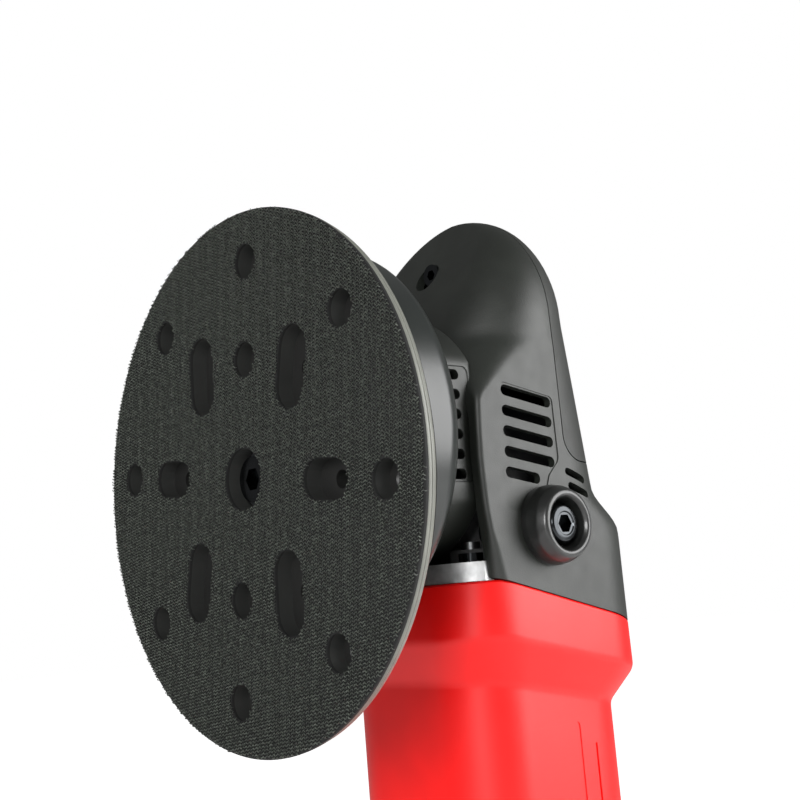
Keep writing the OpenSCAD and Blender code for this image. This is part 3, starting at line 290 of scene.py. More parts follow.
def copper_winding(name, base):
    """Enamelled copper wire, wound and varnished: its turns show as slanted lines with a warm gloss."""
    material, tree, shader = new_material(name)
    place = add(tree, "ShaderNodeTexCoord").outputs["Object"]
    turns = add(tree, "ShaderNodeTexWave", {"bands_direction": "DIAGONAL", "Scale": 0.05 / (0.5 * MM)},
                {"Vector": place})
    bump = add(tree, "ShaderNodeBump", {"Strength": 0.9, "Distance": 0.15 * MM}, {"Height": turns.outputs["Fac"]})
    tree.links.new(bump.outputs["Normal"], shader.inputs["Normal"])
    varied(tree, shader, place, base, 3, 0.8, 1.15)
    shader.inputs["Metallic"].default_value = 0.8
    shader.inputs["Roughness"].default_value = 0.35
    shader.inputs["Coat Weight"].default_value = 0.5
    return material


def stacked_steel(name, base):
    """Stamped electrical steel, stacked: its sheet edges show as lines round the core."""
    material, tree, shader = new_material(name)
    place = add(tree, "ShaderNodeTexCoord").outputs["Object"]
    sheets = add(tree, "ShaderNodeTexWave", {"bands_direction": "Z", "Scale": 0.05 / (0.5 * MM)}, {"Vector": place})
    bump = add(tree, "ShaderNodeBump", {"Strength": 0.7, "Distance": 0.08 * MM}, {"Height": sheets.outputs["Fac"]})
    tree.links.new(bump.outputs["Normal"], shader.inputs["Normal"])
    varied(tree, shader, place, base, 5, 0.75, 1.1)
    shader.inputs["Metallic"].default_value = 1.0
    shader.inputs["Roughness"].default_value = 0.45
    return material


def pressed_carbon(name, base):
    """Pressed and baked carbon: black, dusty and faintly metallic."""
    material, tree, shader = new_material(name)
    place = grain(tree, shader, 0.3, 0.03)
    varied(tree, shader, place, base, 1.5, 0.7, 1.3)
    shader.inputs["Roughness"].default_value = 0.6
    return material


FINISHES = {}


def finish(key):
    """The material of that name, made once."""
    if key not in FINISHES:
        FINISHES[key] = MAKERS[key]()
    return FINISHES[key]


def settings():
    return bpy.context.scene.polisher


MAKERS = {
    "hook_tape": lambda: woven_tape("woven_nylon_tape", settings().pad.tape),
    "hooks": lambda: hook_nylon_painted_glints("nylon_hooks_painted_glints", linear("#363a34")),
    "cushion_foam": lambda: cast_urethane("cast_polyurethane", settings().pad.rim),
    "hole_foam": lambda: moulded_rubber("cut_polyurethane_foam", linear("#1b1c1a"), (0.6, 0.8)),
    "dish_nylon": lambda: textured_nylon("glass_filled_nylon", linear("#161615")),
    "plated_steel": lambda: machined_metal("zinc_plated_steel", linear("#b4b6b8"), (0.28, 0.42)),
    "ground_steel": lambda: machined_metal("ground_steel", linear("#bfc1c4"), (0.16, 0.28)),
    "bearing_steel": lambda: machined_metal("polished_bearing_steel", linear("#cfd1d3"), (0.08, 0.16)),
    "black_steel": lambda: machined_metal("black_oxide_steel", linear("#3a3c3e"), (0.14, 0.22)),
    "cast_steel": lambda: die_cast("cast_steel", linear("#7b7d80")),
    "bronze": lambda: machined_metal("sintered_bronze", linear("#b08f52"), (0.4, 0.55)),
    "black_casting": lambda: die_cast("black_coated_casting", linear("#161718"), (0.4, 0.5), 0.0),
    "bare_casting": lambda: die_cast("die_cast_aluminium", linear("#d3d4d4"), (0.34, 0.48)),
    "shroud_nylon": lambda: satin_nylon("satin_black_nylon", settings().head.shroud),
    "black_nylon": lambda: textured_nylon("spark_eroded_black_nylon", settings().head.plastic),
    "grip_rubber": lambda: moulded_rubber("soft_grip_rubber", settings().head.rubber),
    "ring_rubber": lambda: moulded_rubber("glossy_black_rubber", linear("#151615"), (0.32, 0.42), 0.25),
    "red_nylon": lambda: satin_nylon("moulded_red_nylon", settings().body.red, (0.36, 0.44), 0.36),
    "lamination_steel": lambda: stacked_steel("stacked_electrical_steel", linear("#85888b")),
    "copper_wire": lambda: copper_winding("enamelled_copper_wire", linear("#b06a35")),
    "copper_bars": lambda: machined_metal("turned_copper", linear("#c98a5c"), (0.2, 0.32)),
    "fan_nylon": lambda: textured_nylon("moulded_fan_nylon", linear("#1d1e20")),
    "brass": lambda: machined_metal("pressed_brass", linear("#c5a45c"), (0.22, 0.36)),
    "carbon": lambda: pressed_carbon("pressed_carbon", linear("#26272a")),
    "cap_nylon": lambda: textured_nylon("phenolic_cap", linear("#1a1b1c")),
    "handle_nylon": lambda: textured_nylon("textured_handle_nylon", settings().handle.plastic, (0.5, 0.62), 0.6,
                                           0.08),
    "switch_nylon": lambda: satin_nylon("moulded_switch_nylon", linear("#17181a")),
    "board": lambda: satin_nylon("solder_masked_board", linear("#2c6a45")),
}
NODE_SLOT = {p["node"]: p["material_slot"] for p in RECORD["subparts"]}


# ---------------------------------------------------------------- mesh helpers

def at_head(x, s, z):
    """A point by millimetres from the middle, behind the hook face and above the spindle."""
    return Vector((x * MM, SPINDLE.y + s * MM, SPINDLE.z + z * MM))


def from_front(x, z, s):
    """Places an outline drawn from the front, at a distance behind the hook face."""
    return at_head(x, s, z)


def from_side(s, z, x):
    """Places an outline drawn from the side, at a distance from the middle."""
    return at_head(x, s, z)


def row_side(y, z, x):
    """Places an outline drawn from the side in the row frame's own millimetres."""
    return Vector((x, y, z)) * MM


def build(name, verts, faces, smooth_angle):
    """A mesh object from points in the row frame, in metres, shaded smooth up to an angle."""
    mesh = bpy.data.meshes.new(name)
    mesh.from_pydata([tuple(v) for v in verts], [], faces)
    mesh.validate()
    piece = bpy.data.objects.new(name, mesh)
    bpy.context.scene.collection.objects.link(piece)
    clean(piece)
    shade_by_angle(piece, smooth_angle)
    return piece


def clean(piece):
    """Joins points that coincide and turns every face outwards."""
    bm = bmesh.new()
    bm.from_mesh(piece.data)
    bmesh.ops.remove_doubles(bm, verts=bm.verts, dist=1e-6)
    bmesh.ops.recalc_face_normals(bm, faces=bm.faces)
    bm.to_mesh(piece.data)
    bm.free()


def shade_by_angle(piece, degrees):
    mesh = piece.data
    mesh.polygons.foreach_set("use_smooth", [True] * len(mesh.polygons))
    mesh.set_sharp_from_angle(angle=math.radians(degrees))


def dress(piece, slot, body, *nodes):
    """Gives a piece its finish, its body and the CAD nodes that it stands for."""
    piece.data.materials.clear()
    piece.data.materials.append(finish(slot))
    if body:
        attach(piece, body)
    if nodes:
        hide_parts(*nodes)
    return piece


def apply_modifiers(piece):
    depsgraph = bpy.context.evaluated_depsgraph_get()
    mesh = bpy.data.meshes.new_from_object(piece.evaluated_get(depsgraph))
    old = piece.data
    piece.modifiers.clear()
    piece.data = mesh
    bpy.data.meshes.remove(old)


def cut(piece, cutters, operation="DIFFERENCE"):
    """Cuts pieces out of, or keeps what a piece shares with, the cutters, which are then deleted."""
    for cutter in cutters:
        modifier = piece.modifiers.new("cut", "BOOLEAN")
        modifier.operation = operation
        modifier.solver = "EXACT"
        modifier.object = cutter
    bpy.context.view_layer.update()
    apply_modifiers(piece)
    for cutter in cutters:
        bpy.data.objects.remove(cutter)


def soften(piece, width_mm, angle):
    """Rounds a piece's edges sharper than an angle, by a width in millimetres."""
    modifier = piece.modifiers.new("round", "BEVEL")
    modifier.width = width_mm * MM
    modifier.segments = 2
    modifier.limit_method = "ANGLE"
    modifier.angle_limit = math.radians(angle)
    modifier.use_clamp_overlap = True
    modifier.harden_normals = True
    shade_by_angle(piece, angle)
    bpy.context.view_layer.update()
    apply_modifiers(piece)


def duplicate(piece, name):
    twin = bpy.data.objects.new(name, piece.data.copy())
    bpy.context.scene.collection.objects.link(twin)
    return twin


def filleted(points, steps=6):
    """Outline through (a, b, radius) corners, each rounded by an arc."""
    out = []
    count = len(points)
    for i, (a, b, r) in enumerate(points):
        if r <= 0 or i in (0, count - 1):
            out.append((a, b))
            continue
        p = Vector((a, b))
        u = (Vector(points[i - 1][:2]) - p)
        v = (Vector(points[i + 1][:2]) - p)
        lu, lv = u.length, v.length
        u.normalize()
        v.normalize()
        half = math.acos(max(-1, min(1, u.dot(v)))) / 2
        reach = min(r / math.tan(half), lu * 0.49, lv * 0.49)
        r = reach * math.tan(half)
        centre = p + (u + v).normalized() * (r / math.sin(half))
        a0 = p + u * reach - centre
        a1 = p + v * reach - centre
        turn = math.atan2(a0.x * a1.y - a0.y * a1.x, a0.dot(a1))
        for k in range(steps + 1):
            t = turn * k / steps
            out.append((centre.x + a0.x * math.cos(t) - a0.y * math.sin(t),
                        centre.y + a0.x * math.sin(t) + a0.y * math.cos(t)))
    return out


def turned(name, outline, origin, axis, steps):
    """Solid of revolution: outline of (radius, distance along the axis) in millimetres, closed on itself."""
    side = Vector((0, 0, 1)) if abs(axis.z) < 0.9 else Vector((1, 0, 0))
    across = axis.cross(side).normalized()
    verts, faces = [], []
    count = len(outline)
    for k in range(steps):
        t = 2 * math.pi * k / steps
        out = side * math.cos(t) + across * math.sin(t)
        verts += [origin + out * (r * MM) + axis * (d * MM) for r, d in outline]
    for k in range(steps):
        n = (k + 1) % steps
        for i in range(count):
            j = (i + 1) % count
            faces.append((k * count + i, k * count + j, n * count + j, n * count + i))
    return build(name, verts, faces, 40)


def loft(name, rings, smooth_angle=40):
    """Skin over rings of equal count, with both ends closed."""
    count = len(rings[0])
    verts = [v for ring in rings for v in ring]
    faces = []
    for k in range(len(rings) - 1):
        for i in range(count):
            j = (i + 1) % count
            faces.append((k * count + i, k * count + j, (k + 1) * count + j, (k + 1) * count + i))
    faces.append(tuple(range(count))[::-1])
    faces.append(tuple((len(rings) - 1) * count + i for i in range(count)))
    return build(name, verts, faces, smooth_angle)


def prism(name, outline, low, high, place):
    """Straight prism: place(a, b, h) gives the point of outline point (a, b) at height h."""
    rings = [[place(a, b, h) for a, b in outline] for h in (low, high)]
    return loft(name, rings)


def slot_outline(length, height, tilt=0.0, steps=8, centre=(0, 0)):
    """Outline of a slot with round ends, starting at its centre's front end."""
    r = height / 2
    points = []
    for end, start in ((length - r, -90), (r, 90)):
        for k in range(steps + 1):
            t = math.radians(start + 180 * k / steps)
            points.append((end + r * math.cos(t), r * math.sin(t)))
    c, s = math.cos(tilt), math.sin(tilt)
    return [(centre[0] + a * c - b * s, centre[1] + a * s + b * c) for a, b in points]


def rounded_box(half_x, half_y, radii, centre=(0, 0), steps=10):
    """Outline of a box with its own radius at each corner: (+,+), (-,+), (-,-), (+,-)."""
    points = []
    for (sx, sy), r, start in zip(((1, 1), (-1, 1), (-1, -1), (1, -1)), radii, (0, 90, 180, 270)):
        for k in range(steps + 1):
            t = math.radians(start + 90 * k / steps)
            points.append((centre[0] + sx * (half_x - r) + r * math.cos(t),
                           centre[1] + sy * (half_y - r) + r * math.sin(t)))
    return points


def disc_outline(radius, centre=(0, 0), steps=28):
    return [(centre[0] + radius * math.cos(2 * math.pi * k / steps),
             centre[1] + radius * math.sin(2 * math.pi * k / steps)) for k in range(steps)]


# ---------------------------------------------------------------- backing pad

def face_holes():
    """Outlines of the face's holes in the pad's plane, in millimetres about its axis."""
    air_holes, air_hole_r, air_circle_r, inner_hole_at, bolt_hole_r = 8, 5, 61.35, 33.5, 8.75
    cross_length, cross_width, cross_at = 18.5, 11, 37.5
    slant_length, slant_width, slant_x, slant_z, slant_lean = 23, 12.5, 22.2, 30, 6
    holes = []
    for k in range(air_holes):
        t = math.radians(360 / air_holes * k)
        holes.append(disc_outline(air_hole_r, (air_circle_r * math.cos(t), air_circle_r * math.sin(t))))
    for k in (-1, 1):
        holes.append(disc_outline(air_hole_r, (0, inner_hole_at * k)))
        holes.append(slot_outline(cross_length, cross_width, centre=(cross_at * k - cross_length / 2, 0)))
        for m in (-1, 1):
            tilt = math.radians(90 - k * m * slant_lean)
            start = (slant_x * k - slant_length / 2 * math.cos(tilt), slant_z * m - slant_length / 2 * math.sin(tilt))
            holes.append(slot_outline(slant_length, slant_width, tilt, centre=start))
    holes.append(disc_outline(bolt_hole_r, (0, 0), 40))
    return holes


def turn_pattern(a, b):
    c, s = math.cos(PATTERN_TURN), math.sin(PATTERN_TURN)
    return a * c - b * s, a * s + b * c


def on_pad(a, b, depth):
    """A point of the pad by its pattern's own directions and its depth behind the hook face."""
    x, z = turn_pattern(a, b)
    return PAD_AXIS + Vector((x * MM, depth * MM, z * MM))


def inside(outline, a, b):
    """Whether a point lies within an outline."""
    hit = False
    j = len(outline) - 1
    for i in range(len(outline)):
        (xi, yi), (xj, yj) = outline[i], outline[j]
        if (yi > b) != (yj > b) and a < (xj - xi) * (b - yi) / (yj - yi) + xi:
            hit = not hit
        j = i
    return hit


def grown(outline, by):
    """The outline moved outwards from its middle by a width."""
    ca = sum(p[0] for p in outline) / len(outline)
    cb = sum(p[1] for p in outline) / len(outline)
    out = []
    for a, b in outline:
        d = math.hypot(a - ca, b - cb)
        out.append((a + (a - ca) / d * by, b + (b - cb) / d * by))
    return out


class POLISHER_OT_hook_face(bpy.types.Operator):
    """Woven tape with its field of nylon hooks, cut through by the pad's air holes"""
    bl_idname = "polisher.hook_face"
    bl_label = "Hook face"

    def execute(self, context):
        pad = settings().pad
        radius = pad.radius / MM
        front, lip, back = 0.55, 0.7, 1.4
        tape = turned("hook_tape", [(0.01, back), (0.01, front), (radius + 0.6, front), (radius + 0.8, lip),
                                    (radius + 0.8, back)], PAD_AXIS, Vector((0, 1, 0)), 192)
        holes = face_holes()
        cut(tape, [prism("hole", h, -1, 3, on_pad) for h in holes])
        shade_by_angle(tape, 40)
        dress(tape, "hook_tape", "pad", "hook_face")
        hooks = self.hooks(radius, holes, pad)
        dress(hooks, "hook_tape", "pad")
        hooks.data.materials[0] = finish("hooks")
        return {"FINISHED"}

    @staticmethod
    def hooks(radius, holes, pad):
        """Each hook is a bent strand: it leans along or against its column and curls over."""
        random.seed(11)
        row = pad.hook_row / MM
        column = pad.hook_column / MM
        rise = pad.hook_rise / MM
        rims = [(grown(h, 0.15), sum(p[0] for p in h) / len(h), sum(p[1] for p in h) / len(h),
                 max(math.hypot(p[0] - h[0][0], p[1] - h[0][1]) for p in h)) for h in holes]
        verts, faces = [], []
        strand, jitter, foot = 0.13, 0.08, 0.75
        half = int(radius / column) + 1
        span = int(radius / row) + 1
        path = ((-0.42, 0.0), (-0.3, 0.75), (0.15, 1.0), (0.46, 0.6))
        for i in range(-half, half + 1):
            lean = 1 if i % 2 else -1
            bold = 1.35 if i % 8 in (0, 1, 2) else 1.0
            for j in range(-span, span + 1):
                a = i * column + random.uniform(-jitter, jitter)
                b = (j + 0.25 * (i % 4)) * row + random.uniform(-jitter, jitter)
                if math.hypot(a, b) > radius + 0.5:
                    continue
                if any(math.hypot(a - ca, b - cb) < reach and inside(rim, a, b) for rim, ca, cb, reach in rims):
                    continue
                angle = math.radians(90 - 42 * lean + random.uniform(-14, 14))
                da, db = math.cos(angle), math.sin(angle)
                tall = rise * random.uniform(0.75, 1.1)
                width = strand * bold * random.uniform(0.85, 1.15)
                base = len(verts)
                for out, up in path:
                    depth = foot - up * tall
                    pa, pb = a + da * out, b + db * out
                    verts.append(on_pad(pa - db * width, pb + da * width, depth + width))
                    verts.append(on_pad(pa, pb, depth - width))
                    verts.append(on_pad(pa + db * width, pb - da * width, depth + width))
                for step in range(0, 9, 3):
                    for k in range(3):
                        n = (k + 1) % 3
                        faces.append((base + step + k, base + step + n, base + step + 3 + n, base + step + 3 + k))
                faces.append((base + 9, base + 10, base + 11))
        mesh = bpy.data.meshes.new("hook_field")
        mesh.from_pydata([tuple(v) for v in verts], [], faces)
        mesh.polygons.foreach_set("use_smooth", [True] * len(mesh.polygons))
        piece = bpy.data.objects.new("hook_field", mesh)
        bpy.context.scene.collection.objects.link(piece)
        return piece


class POLISHER_OT_pad_cushion(bpy.types.Operator):
    """Cast urethane cushion with its smooth grooved rim"""
    bl_idname = "polisher.pad_cushion"
    bl_label = "Pad cushion"

    def execute(self, context):
        r = settings().pad.radius / MM
        outline = filleted([(0.01, 1.4, 0), (r + 0.5, 1.4, 0.2), (r + 0.7, 2.6, 0.3), (r + 0.2, 2.8, 0.1),
                            (r + 0.4, 3.1, 0.1), (r + 0.1, 4.4, 0.8), (r - 2.6, 6.0, 0.4), (0.01, 6.0, 0)], 3)
        piece = turned("pad_cushion_body", outline, PAD_AXIS, Vector((0, 1, 0)), 192)
        cut(piece, [prism("hole", h, 0, 8, on_pad) for h in face_holes()])
        shade_by_angle(piece, 40)
        dress(piece, "cushion_foam", "pad", "pad_cushion")
        piece.data.materials.append(finish("hole_foam"))
        for face in piece.data.polygons:
            away = face.center - PAD_AXIS
            face.material_index = 1 if math.hypot(away.x, away.z) < (r - 4) * MM else 0
        return {"FINISHED"}


# ---------------------------------------------------------------- head

class POLISHER_OT_shroud(bpy.types.Operator):
    """Round satin shroud over the counterweight"""
    bl_idname = "polisher.shroud"
    bl_label = "Shroud"

    def execute(self, context):
        outline = filleted([(30, 33, 0), (48.5, 33, 4), (54.2, 27, 4), (55.4, 13.3, 0), (57.4, 13.3, 0.6),
                            (57.3, 19.5, 1), (56.7, 20.3, 1), (56.6, 29.5, 6), (51.5, 35.6, 6), (30, 35.6, 0)], 6)
        piece = turned("shroud_bell", outline, SPINDLE, Vector((0, 1, 0)), 192)
        dress(piece, "shroud_nylon", "body", "shroud")
        return {"FINISHED"}


class POLISHER_OT_vent_collar(bpy.types.Operator):
    """Drum with side flats, each with a recessed panel of short slots"""
    bl_idname = "polisher.vent_collar"
    bl_label = "Vented collar"

    def execute(self, context):
        radius, half, low, high = 39.4, 34.0, 33.0, 59.5
        wall, neck_r, slots, slot_pitch = 2.6, 24.1, 6, 5.8
        outline = self.drum(radius, half)
        rim = 1.2
        rings = []
        for h, inset in ((low, 0), (high - rim, 0), (high - rim * 0.62, rim * 0.12), (high - rim * 0.3, rim * 0.35),
                         (high - rim * 0.08, rim * 0.7), (high, rim)):
            scale = 1 - inset / radius
            rings.append([from_front(a * scale, b * scale, h) for a, b in outline])
        piece = loft("collar_drum", rings, 30)
        cutters = [prism("bore", self.drum(radius - wall, half - wall), low - 1, high - 3, from_front),
                   prism("neck", disc_outline(neck_r, steps=64), high - 5, high + 1, from_front)]
        for k in (-1, 1):
            panel = rounded_box(11.0, 16.9, (2.2,) * 4, (46.9, 1.5))
            cutters.append(prism("panel", panel, k * (half - 0.35), k * (half + 2), from_side))
            for i in range(slots):
                slot = slot_outline(16.4, 2.9, 0, 6, (38.0, 15.9 - i * slot_pitch))
                cutters.append(prism("slot", slot, k * (half - 4), k * (half + 2), from_side))
        cut(piece, cutters)
        soften(piece, 0.3, 40)
        dress(piece, "black_nylon", "body", "vent_collar")
        return {"FINISHED"}

    @staticmethod
    def drum(radius, half):
        """Outline of a disc with flats at both sides and a short one underneath."""
        corner = math.degrees(math.acos(half / radius))
        foot, steps = -37.7, 32
        outline = []
        for start in (corner, 180 + corner):
            for k in range(steps + 1):
                t = math.radians(start + (180 - 2 * corner) * k / steps)
                outline.append((radius * math.cos(t), max(foot, radius * math.sin(t))))
        return outline


def blend_value(z, stops):
    """Smooth value between (height, value) stops."""
    if z <= stops[0][0]:
        return stops[0][1]
    for (z0, v0), (z1, v1) in zip(stops, stops[1:]):
        if z <= z1:
            t = (z - z0) / (z1 - z0)
            t = t * t * (3 - 2 * t)
            return v0 + (v1 - v0) * t
    return stops[-1][1]


def between(z, stops):
    """Straight-line value between (height, value) stops."""
    for (z0, v0), (z1, v1) in zip(stops, stops[1:]):
        if z <= z1:
            return v0 + (v1 - v0) * max(0.0, (z - z0) / (z1 - z0))
    return stops[-1][1]


# The cover's heights are above the spindle; its middle and the side bolt's place are behind the hook face
DOME_TOP, DOME_MID = 75.6, 93.4
SHOULDER, COVER_FOOT = 35, -34
SIDE_BOLT_AT = (81, -29)


def closing(z, start, power):
    """Share of full size left at a height, on a curve that closes at the top of the dome."""
    if z <= start:
        return 1.0
    return max(0.0, 1 - ((z - start) / (DOME_TOP - start)) ** power) ** (1 / power)


def cover_section(z, inset):
    """Plan outline of the head cover at a height above the spindle, as (x, distance behind the hook face)."""
    wide = settings().head.half_width / MM
    half = between(z, [(-34, wide + 0.5), (-20, wide), (14, wide - 0.1), (40, wide - 0.3)])
    half *= closing(z, SHOULDER, 2.0)
    front = between(z, [(-44, 58.2), (-24, 56.0), (-10, 55.4), (10, 56.0)])
    lean, knee, knee_width = 0.66, 23.1, 7.4
    front += lean * knee_width * math.log1p(math.exp((z - knee) / knee_width))
    back = blend_value(z, [(-60, 125.6), (-31, 125.4), (-17, 116.4)]) if z < -17 else 116.4 - (z + 17) * 0.118
    back = DOME_MID + (back - DOME_MID) * closing(z, 36.6, 1.57)
    half = max(0.2, half - inset)
    front = min(DOME_MID - 0.2, front + inset)
    back = max(DOME_MID + 0.2, back - inset)
    depth = (back - front) / 2
    r_front = between(z, [(-44, 5), (-30, 1.8), (9, 1.8), (32, 28)])
    r_back = between(z, [(-31, 20), (-17, 22), (36, 22)])
    r_front = max(0.1, min(r_front - inset * 0.5, half * 0.98, depth * 0.98))
    r_back = max(0.1, min(r_back - inset * 0.5, half * 0.98, depth * 0.98))
    return rounded_box(half, depth, (r_back, r_back, r_front, r_front), (0, (front + back) / 2), 14)


def parting(s):
    """Height of the parting line above the spindle at a distance behind the hook face."""
    low, start, slope = -43.6, 60.3, 15
    return low - (s - start) * math.tan(math.radians(slope))


def cover_rings(inset):
    """The cover's plan outlines from the parting line to the top of the dome, moved inwards by an inset."""
    heights = [COVER_FOOT, -32, -30, -28, -26, -24, -22, -20, -18, -15, -8, 0, 6] + list(range(8, 36, 2))
    top = DOME_TOP - inset
    heights += [SHOULDER + (top - SHOULDER) * math.sin(math.radians(t)) for t in list(range(3, 90, 4)) + [88.5]]
    rings = []
    for drop in (1.0, 0.5):
        rings.append([at_head(x, s, COVER_FOOT + (parting(s) - inset - COVER_FOOT) * drop)
                      for x, s in cover_section(COVER_FOOT - 8 * drop, inset)])
    for z in heights:
        source = z if z < SHOULDER else SHOULDER + (z - SHOULDER) * (DOME_TOP - SHOULDER) / (top - SHOULDER)
        rings.append([at_head(x, s, z) for x, s in cover_section(source, inset)])
    return rings


def grip_zone(grow):
    """Side outline of the soft back insert, as (distance behind the hook face, height above the spindle)."""
    points = [(140, -9.5 - grow, 0), (92 - grow, -9.5 - grow, 8 + grow), (92 - grow, 90, 0), (140, 90, 0)]
    return filleted(points, 8)


class POLISHER_OT_head_cover(bpy.types.Operator):
    """Black head cover with its dome, side vents and seam for the soft back insert"""
    bl_idname = "polisher.head_cover"
    bl_label = "Head cover"

    def execute(self, context):
        shell = loft("cover_shell", cover_rings(0.0), 32)
        core = loft("core", cover_rings(settings().head.wall / MM), 32)
        cut(shell, [core])
        gate_half, drum_r, drum_top = 34.6, 40.4, 18.2
        front_gate = prism("gate", rounded_box(gate_half, 45, (8, 8, 1, 1), (0, -35)), 40, 72, from_front)
        drum = [(x, z) for x, z in disc_outline(drum_r, steps=128) if abs(x) <= gate_half and z <= drum_top]
        drum_gate = prism("gate", drum, 40, 60.4, from_front)
        cut(shell, [front_gate])
        cut(shell, [drum_gate])
        insert = duplicate(shell, "grip_insert")
        cut(shell, [prism("zone", grip_zone(0.25), -60, 60, from_side)])
        cut(insert, [prism("zone", grip_zone(-0.15), -60, 60, from_side)], "INTERSECT")
        cutters = []
        for k in (-1, 1):
            panel = filleted([(75, -24.8, 0), (64.4, -24.2, 2.5), (66.2, 14.0, 1.8), (88.6, 10.0, 1.8),
                              (88.9, -9.4, 3), (84, -14, 4), (80, -24.8, 4), (75, -24.8, 0)], 6)
            cutters.append(prism("panel", panel, k * 38.15, k * 45, from_side))
            for i in range(5):
                length = 14.5 if i == 4 else 21.4
                slot = slot_outline(length, 3.3, math.radians(-9.5), 8, (66.8 - i * 0.25, 11.6 - i * 6.1))
                cutters.append(prism("vent", slot, k * 30, k * 45, from_side))
            for i in (0, 1):
                slot = slot_outline(10, 2.3, math.radians(-19), 8, (91.2 + i * 0.8, -12.4 - i * 4.4))
                cutters.append(prism("vent", slot, k * 20, k * 45, from_side))
            cutters.append(prism("bolt", disc_outline(8, SIDE_BOLT_AT, 32), k * 30, k * 45, from_side))
        cut(shell, cutters)
        cut(shell, [prism("hole", disc_outline(4.7, (-1, 56.5), 40), 50, 84, from_front)])
        soften(shell, 0.35, 42)
        soften(insert, 0.4, 42)
        dress(shell, "black_nylon", "body", "head_cover")
        dress(insert, "grip_rubber", "body", "back_grip")
        return {"FINISHED"}


class POLISHER_OT_side_fittings(bpy.types.Operator):
    """Rubber rings and hex socket bolts where a side handle is fitted"""
    bl_idname = "polisher.side_fittings"
    bl_label = "Side rings and bolts"

    def execute(self, context):
        for k, word in ((-1, "left"), (1, "right")):
            origin = at_head(0, *SIDE_BOLT_AT)
            axis = Vector((k, 0, 0))
            ring = filleted([(4.3, 38.3, 0), (11.7, 38.3, 0.3), (11.9, 41.0, 3), (11.3, 44.2, 4), (9.9, 47.0, 1.6),
                             (8.3, 47.3, 1.0), (7.5, 46.0, 1.0), (7.3, 40.4, 0.5), (4.3, 40.4, 0)], 6)
            piece = turned("side_ring_" + word, ring, origin, axis, 96)
            dress(piece, "ring_rubber", "body", "side_rings")
            head = filleted([(0.01, 30, 0), (4.0, 30, 0), (4.0, 40.5, 0), (6.4, 40.5, 0.2), (6.4, 43.6, 0.8),
                             (5.2, 45.4, 1.2), (3.6, 45.7, 0.3), (3.3, 45.3, 0), (0.01, 45.3, 0)], 5)
            bolt = turned("side_bolt_" + word, head, origin, axis, 64)
            hex_r = 2.9
            socket = prism("socket", [(origin.y / MM + hex_r * math.cos(math.radians(60 * n)),
                                       origin.z / MM + hex_r * math.sin(math.radians(60 * n))) for n in range(6)],
                           k * 42.6, k * 50, row_side)
            cut(bolt, [socket])
            shade_by_angle(bolt, 35)
            dress(bolt, "black_steel", "body", "side_bolts")
        return {"FINISHED"}


# ---------------------------------------------------------------- motor housing

class POLISHER_OT_motor_housing(bpy.types.Operator):
    """Red moulded housing: a square collar, a sloping chamfer and a narrower body"""
    bl_idname = "polisher.motor_housing"
    bl_label = "Motor housing"

    def execute(self, context):
        body = settings().body
        wide, slim, corner = body.collar_half / MM, body.body_half / MM, body.corner / MM
        wall, slope_from, cap_r = 2.6, -26.2, 7.1
        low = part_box("motor_housing")[0][2] / MM
        spindle = SPINDLE.z / MM

        def ring(half, r, level, slope):
            points = rounded_box(half, half, (r,) * 4, (0, 0), 12)
            out = []
            for x, y in points:
                drop = max(0.0, y - slope_from) * math.tan(math.radians(slope))
                out.append(Vector((x, y, spindle + level - drop)) * MM)
            return out

        profile = filleted([(wide - 0.5, -43.75, 0), (wide, -44.3, 0.4), (wide + 0.1, -60.0, 7), (slim, -72.0, 8),
                            (slim, -100, 0), (slim, -150, 0), (slim, low - spindle, 0)], 8)
        slopes = [(-191, 0), (-100, 0), (-76, 12), (-60, 13.2), (-44, 15)]
        outer = [ring(half, corner - (wide - half) * 0.2, level, blend_value(level, slopes))
                 for half, level in profile]
        piece = loft("housing_shell", outer, 32)
        inner = [ring(half - wall, corner - wall - (wide - half) * 0.2, level + shift,
                      blend_value(level, slopes)) for half, level, shift in
                 [(wide, -40, 0), (wide, -57.5, 0), (slim, -69.5, 0), (slim, -100, 0), (slim, low - spindle - 3, 0)]]
        cut(piece, [loft("hollow", inner, 32)])
        cutters = []
        for k in (-1, 1):
            cutters.append(prism("cap", disc_outline(cap_r, (0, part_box("brush_caps")[0][2] / MM + 7), 40),
                                 k * 20, k * 50, row_side))
            panel = rounded_box(10.8, 27, (1.5,) * 4, (-4.7, spindle - 114))
            cutters.append(prism("panel", panel, k * (slim - 0.3), k * (slim + 4), row_side))
            line = rounded_box(0.4, 16, (0.3,) * 4, (12.5, spindle - 110))
            cutters.append(prism("line", line, k * (slim - 0.5), k * (slim + 4), row_side))
        cut(piece, cutters)
        soften(piece, 0.35, 42)
        dress(piece, "red_nylon", "body", "motor_housing")
        return {"FINISHED"}


# ---------------------------------------------------------------- handle

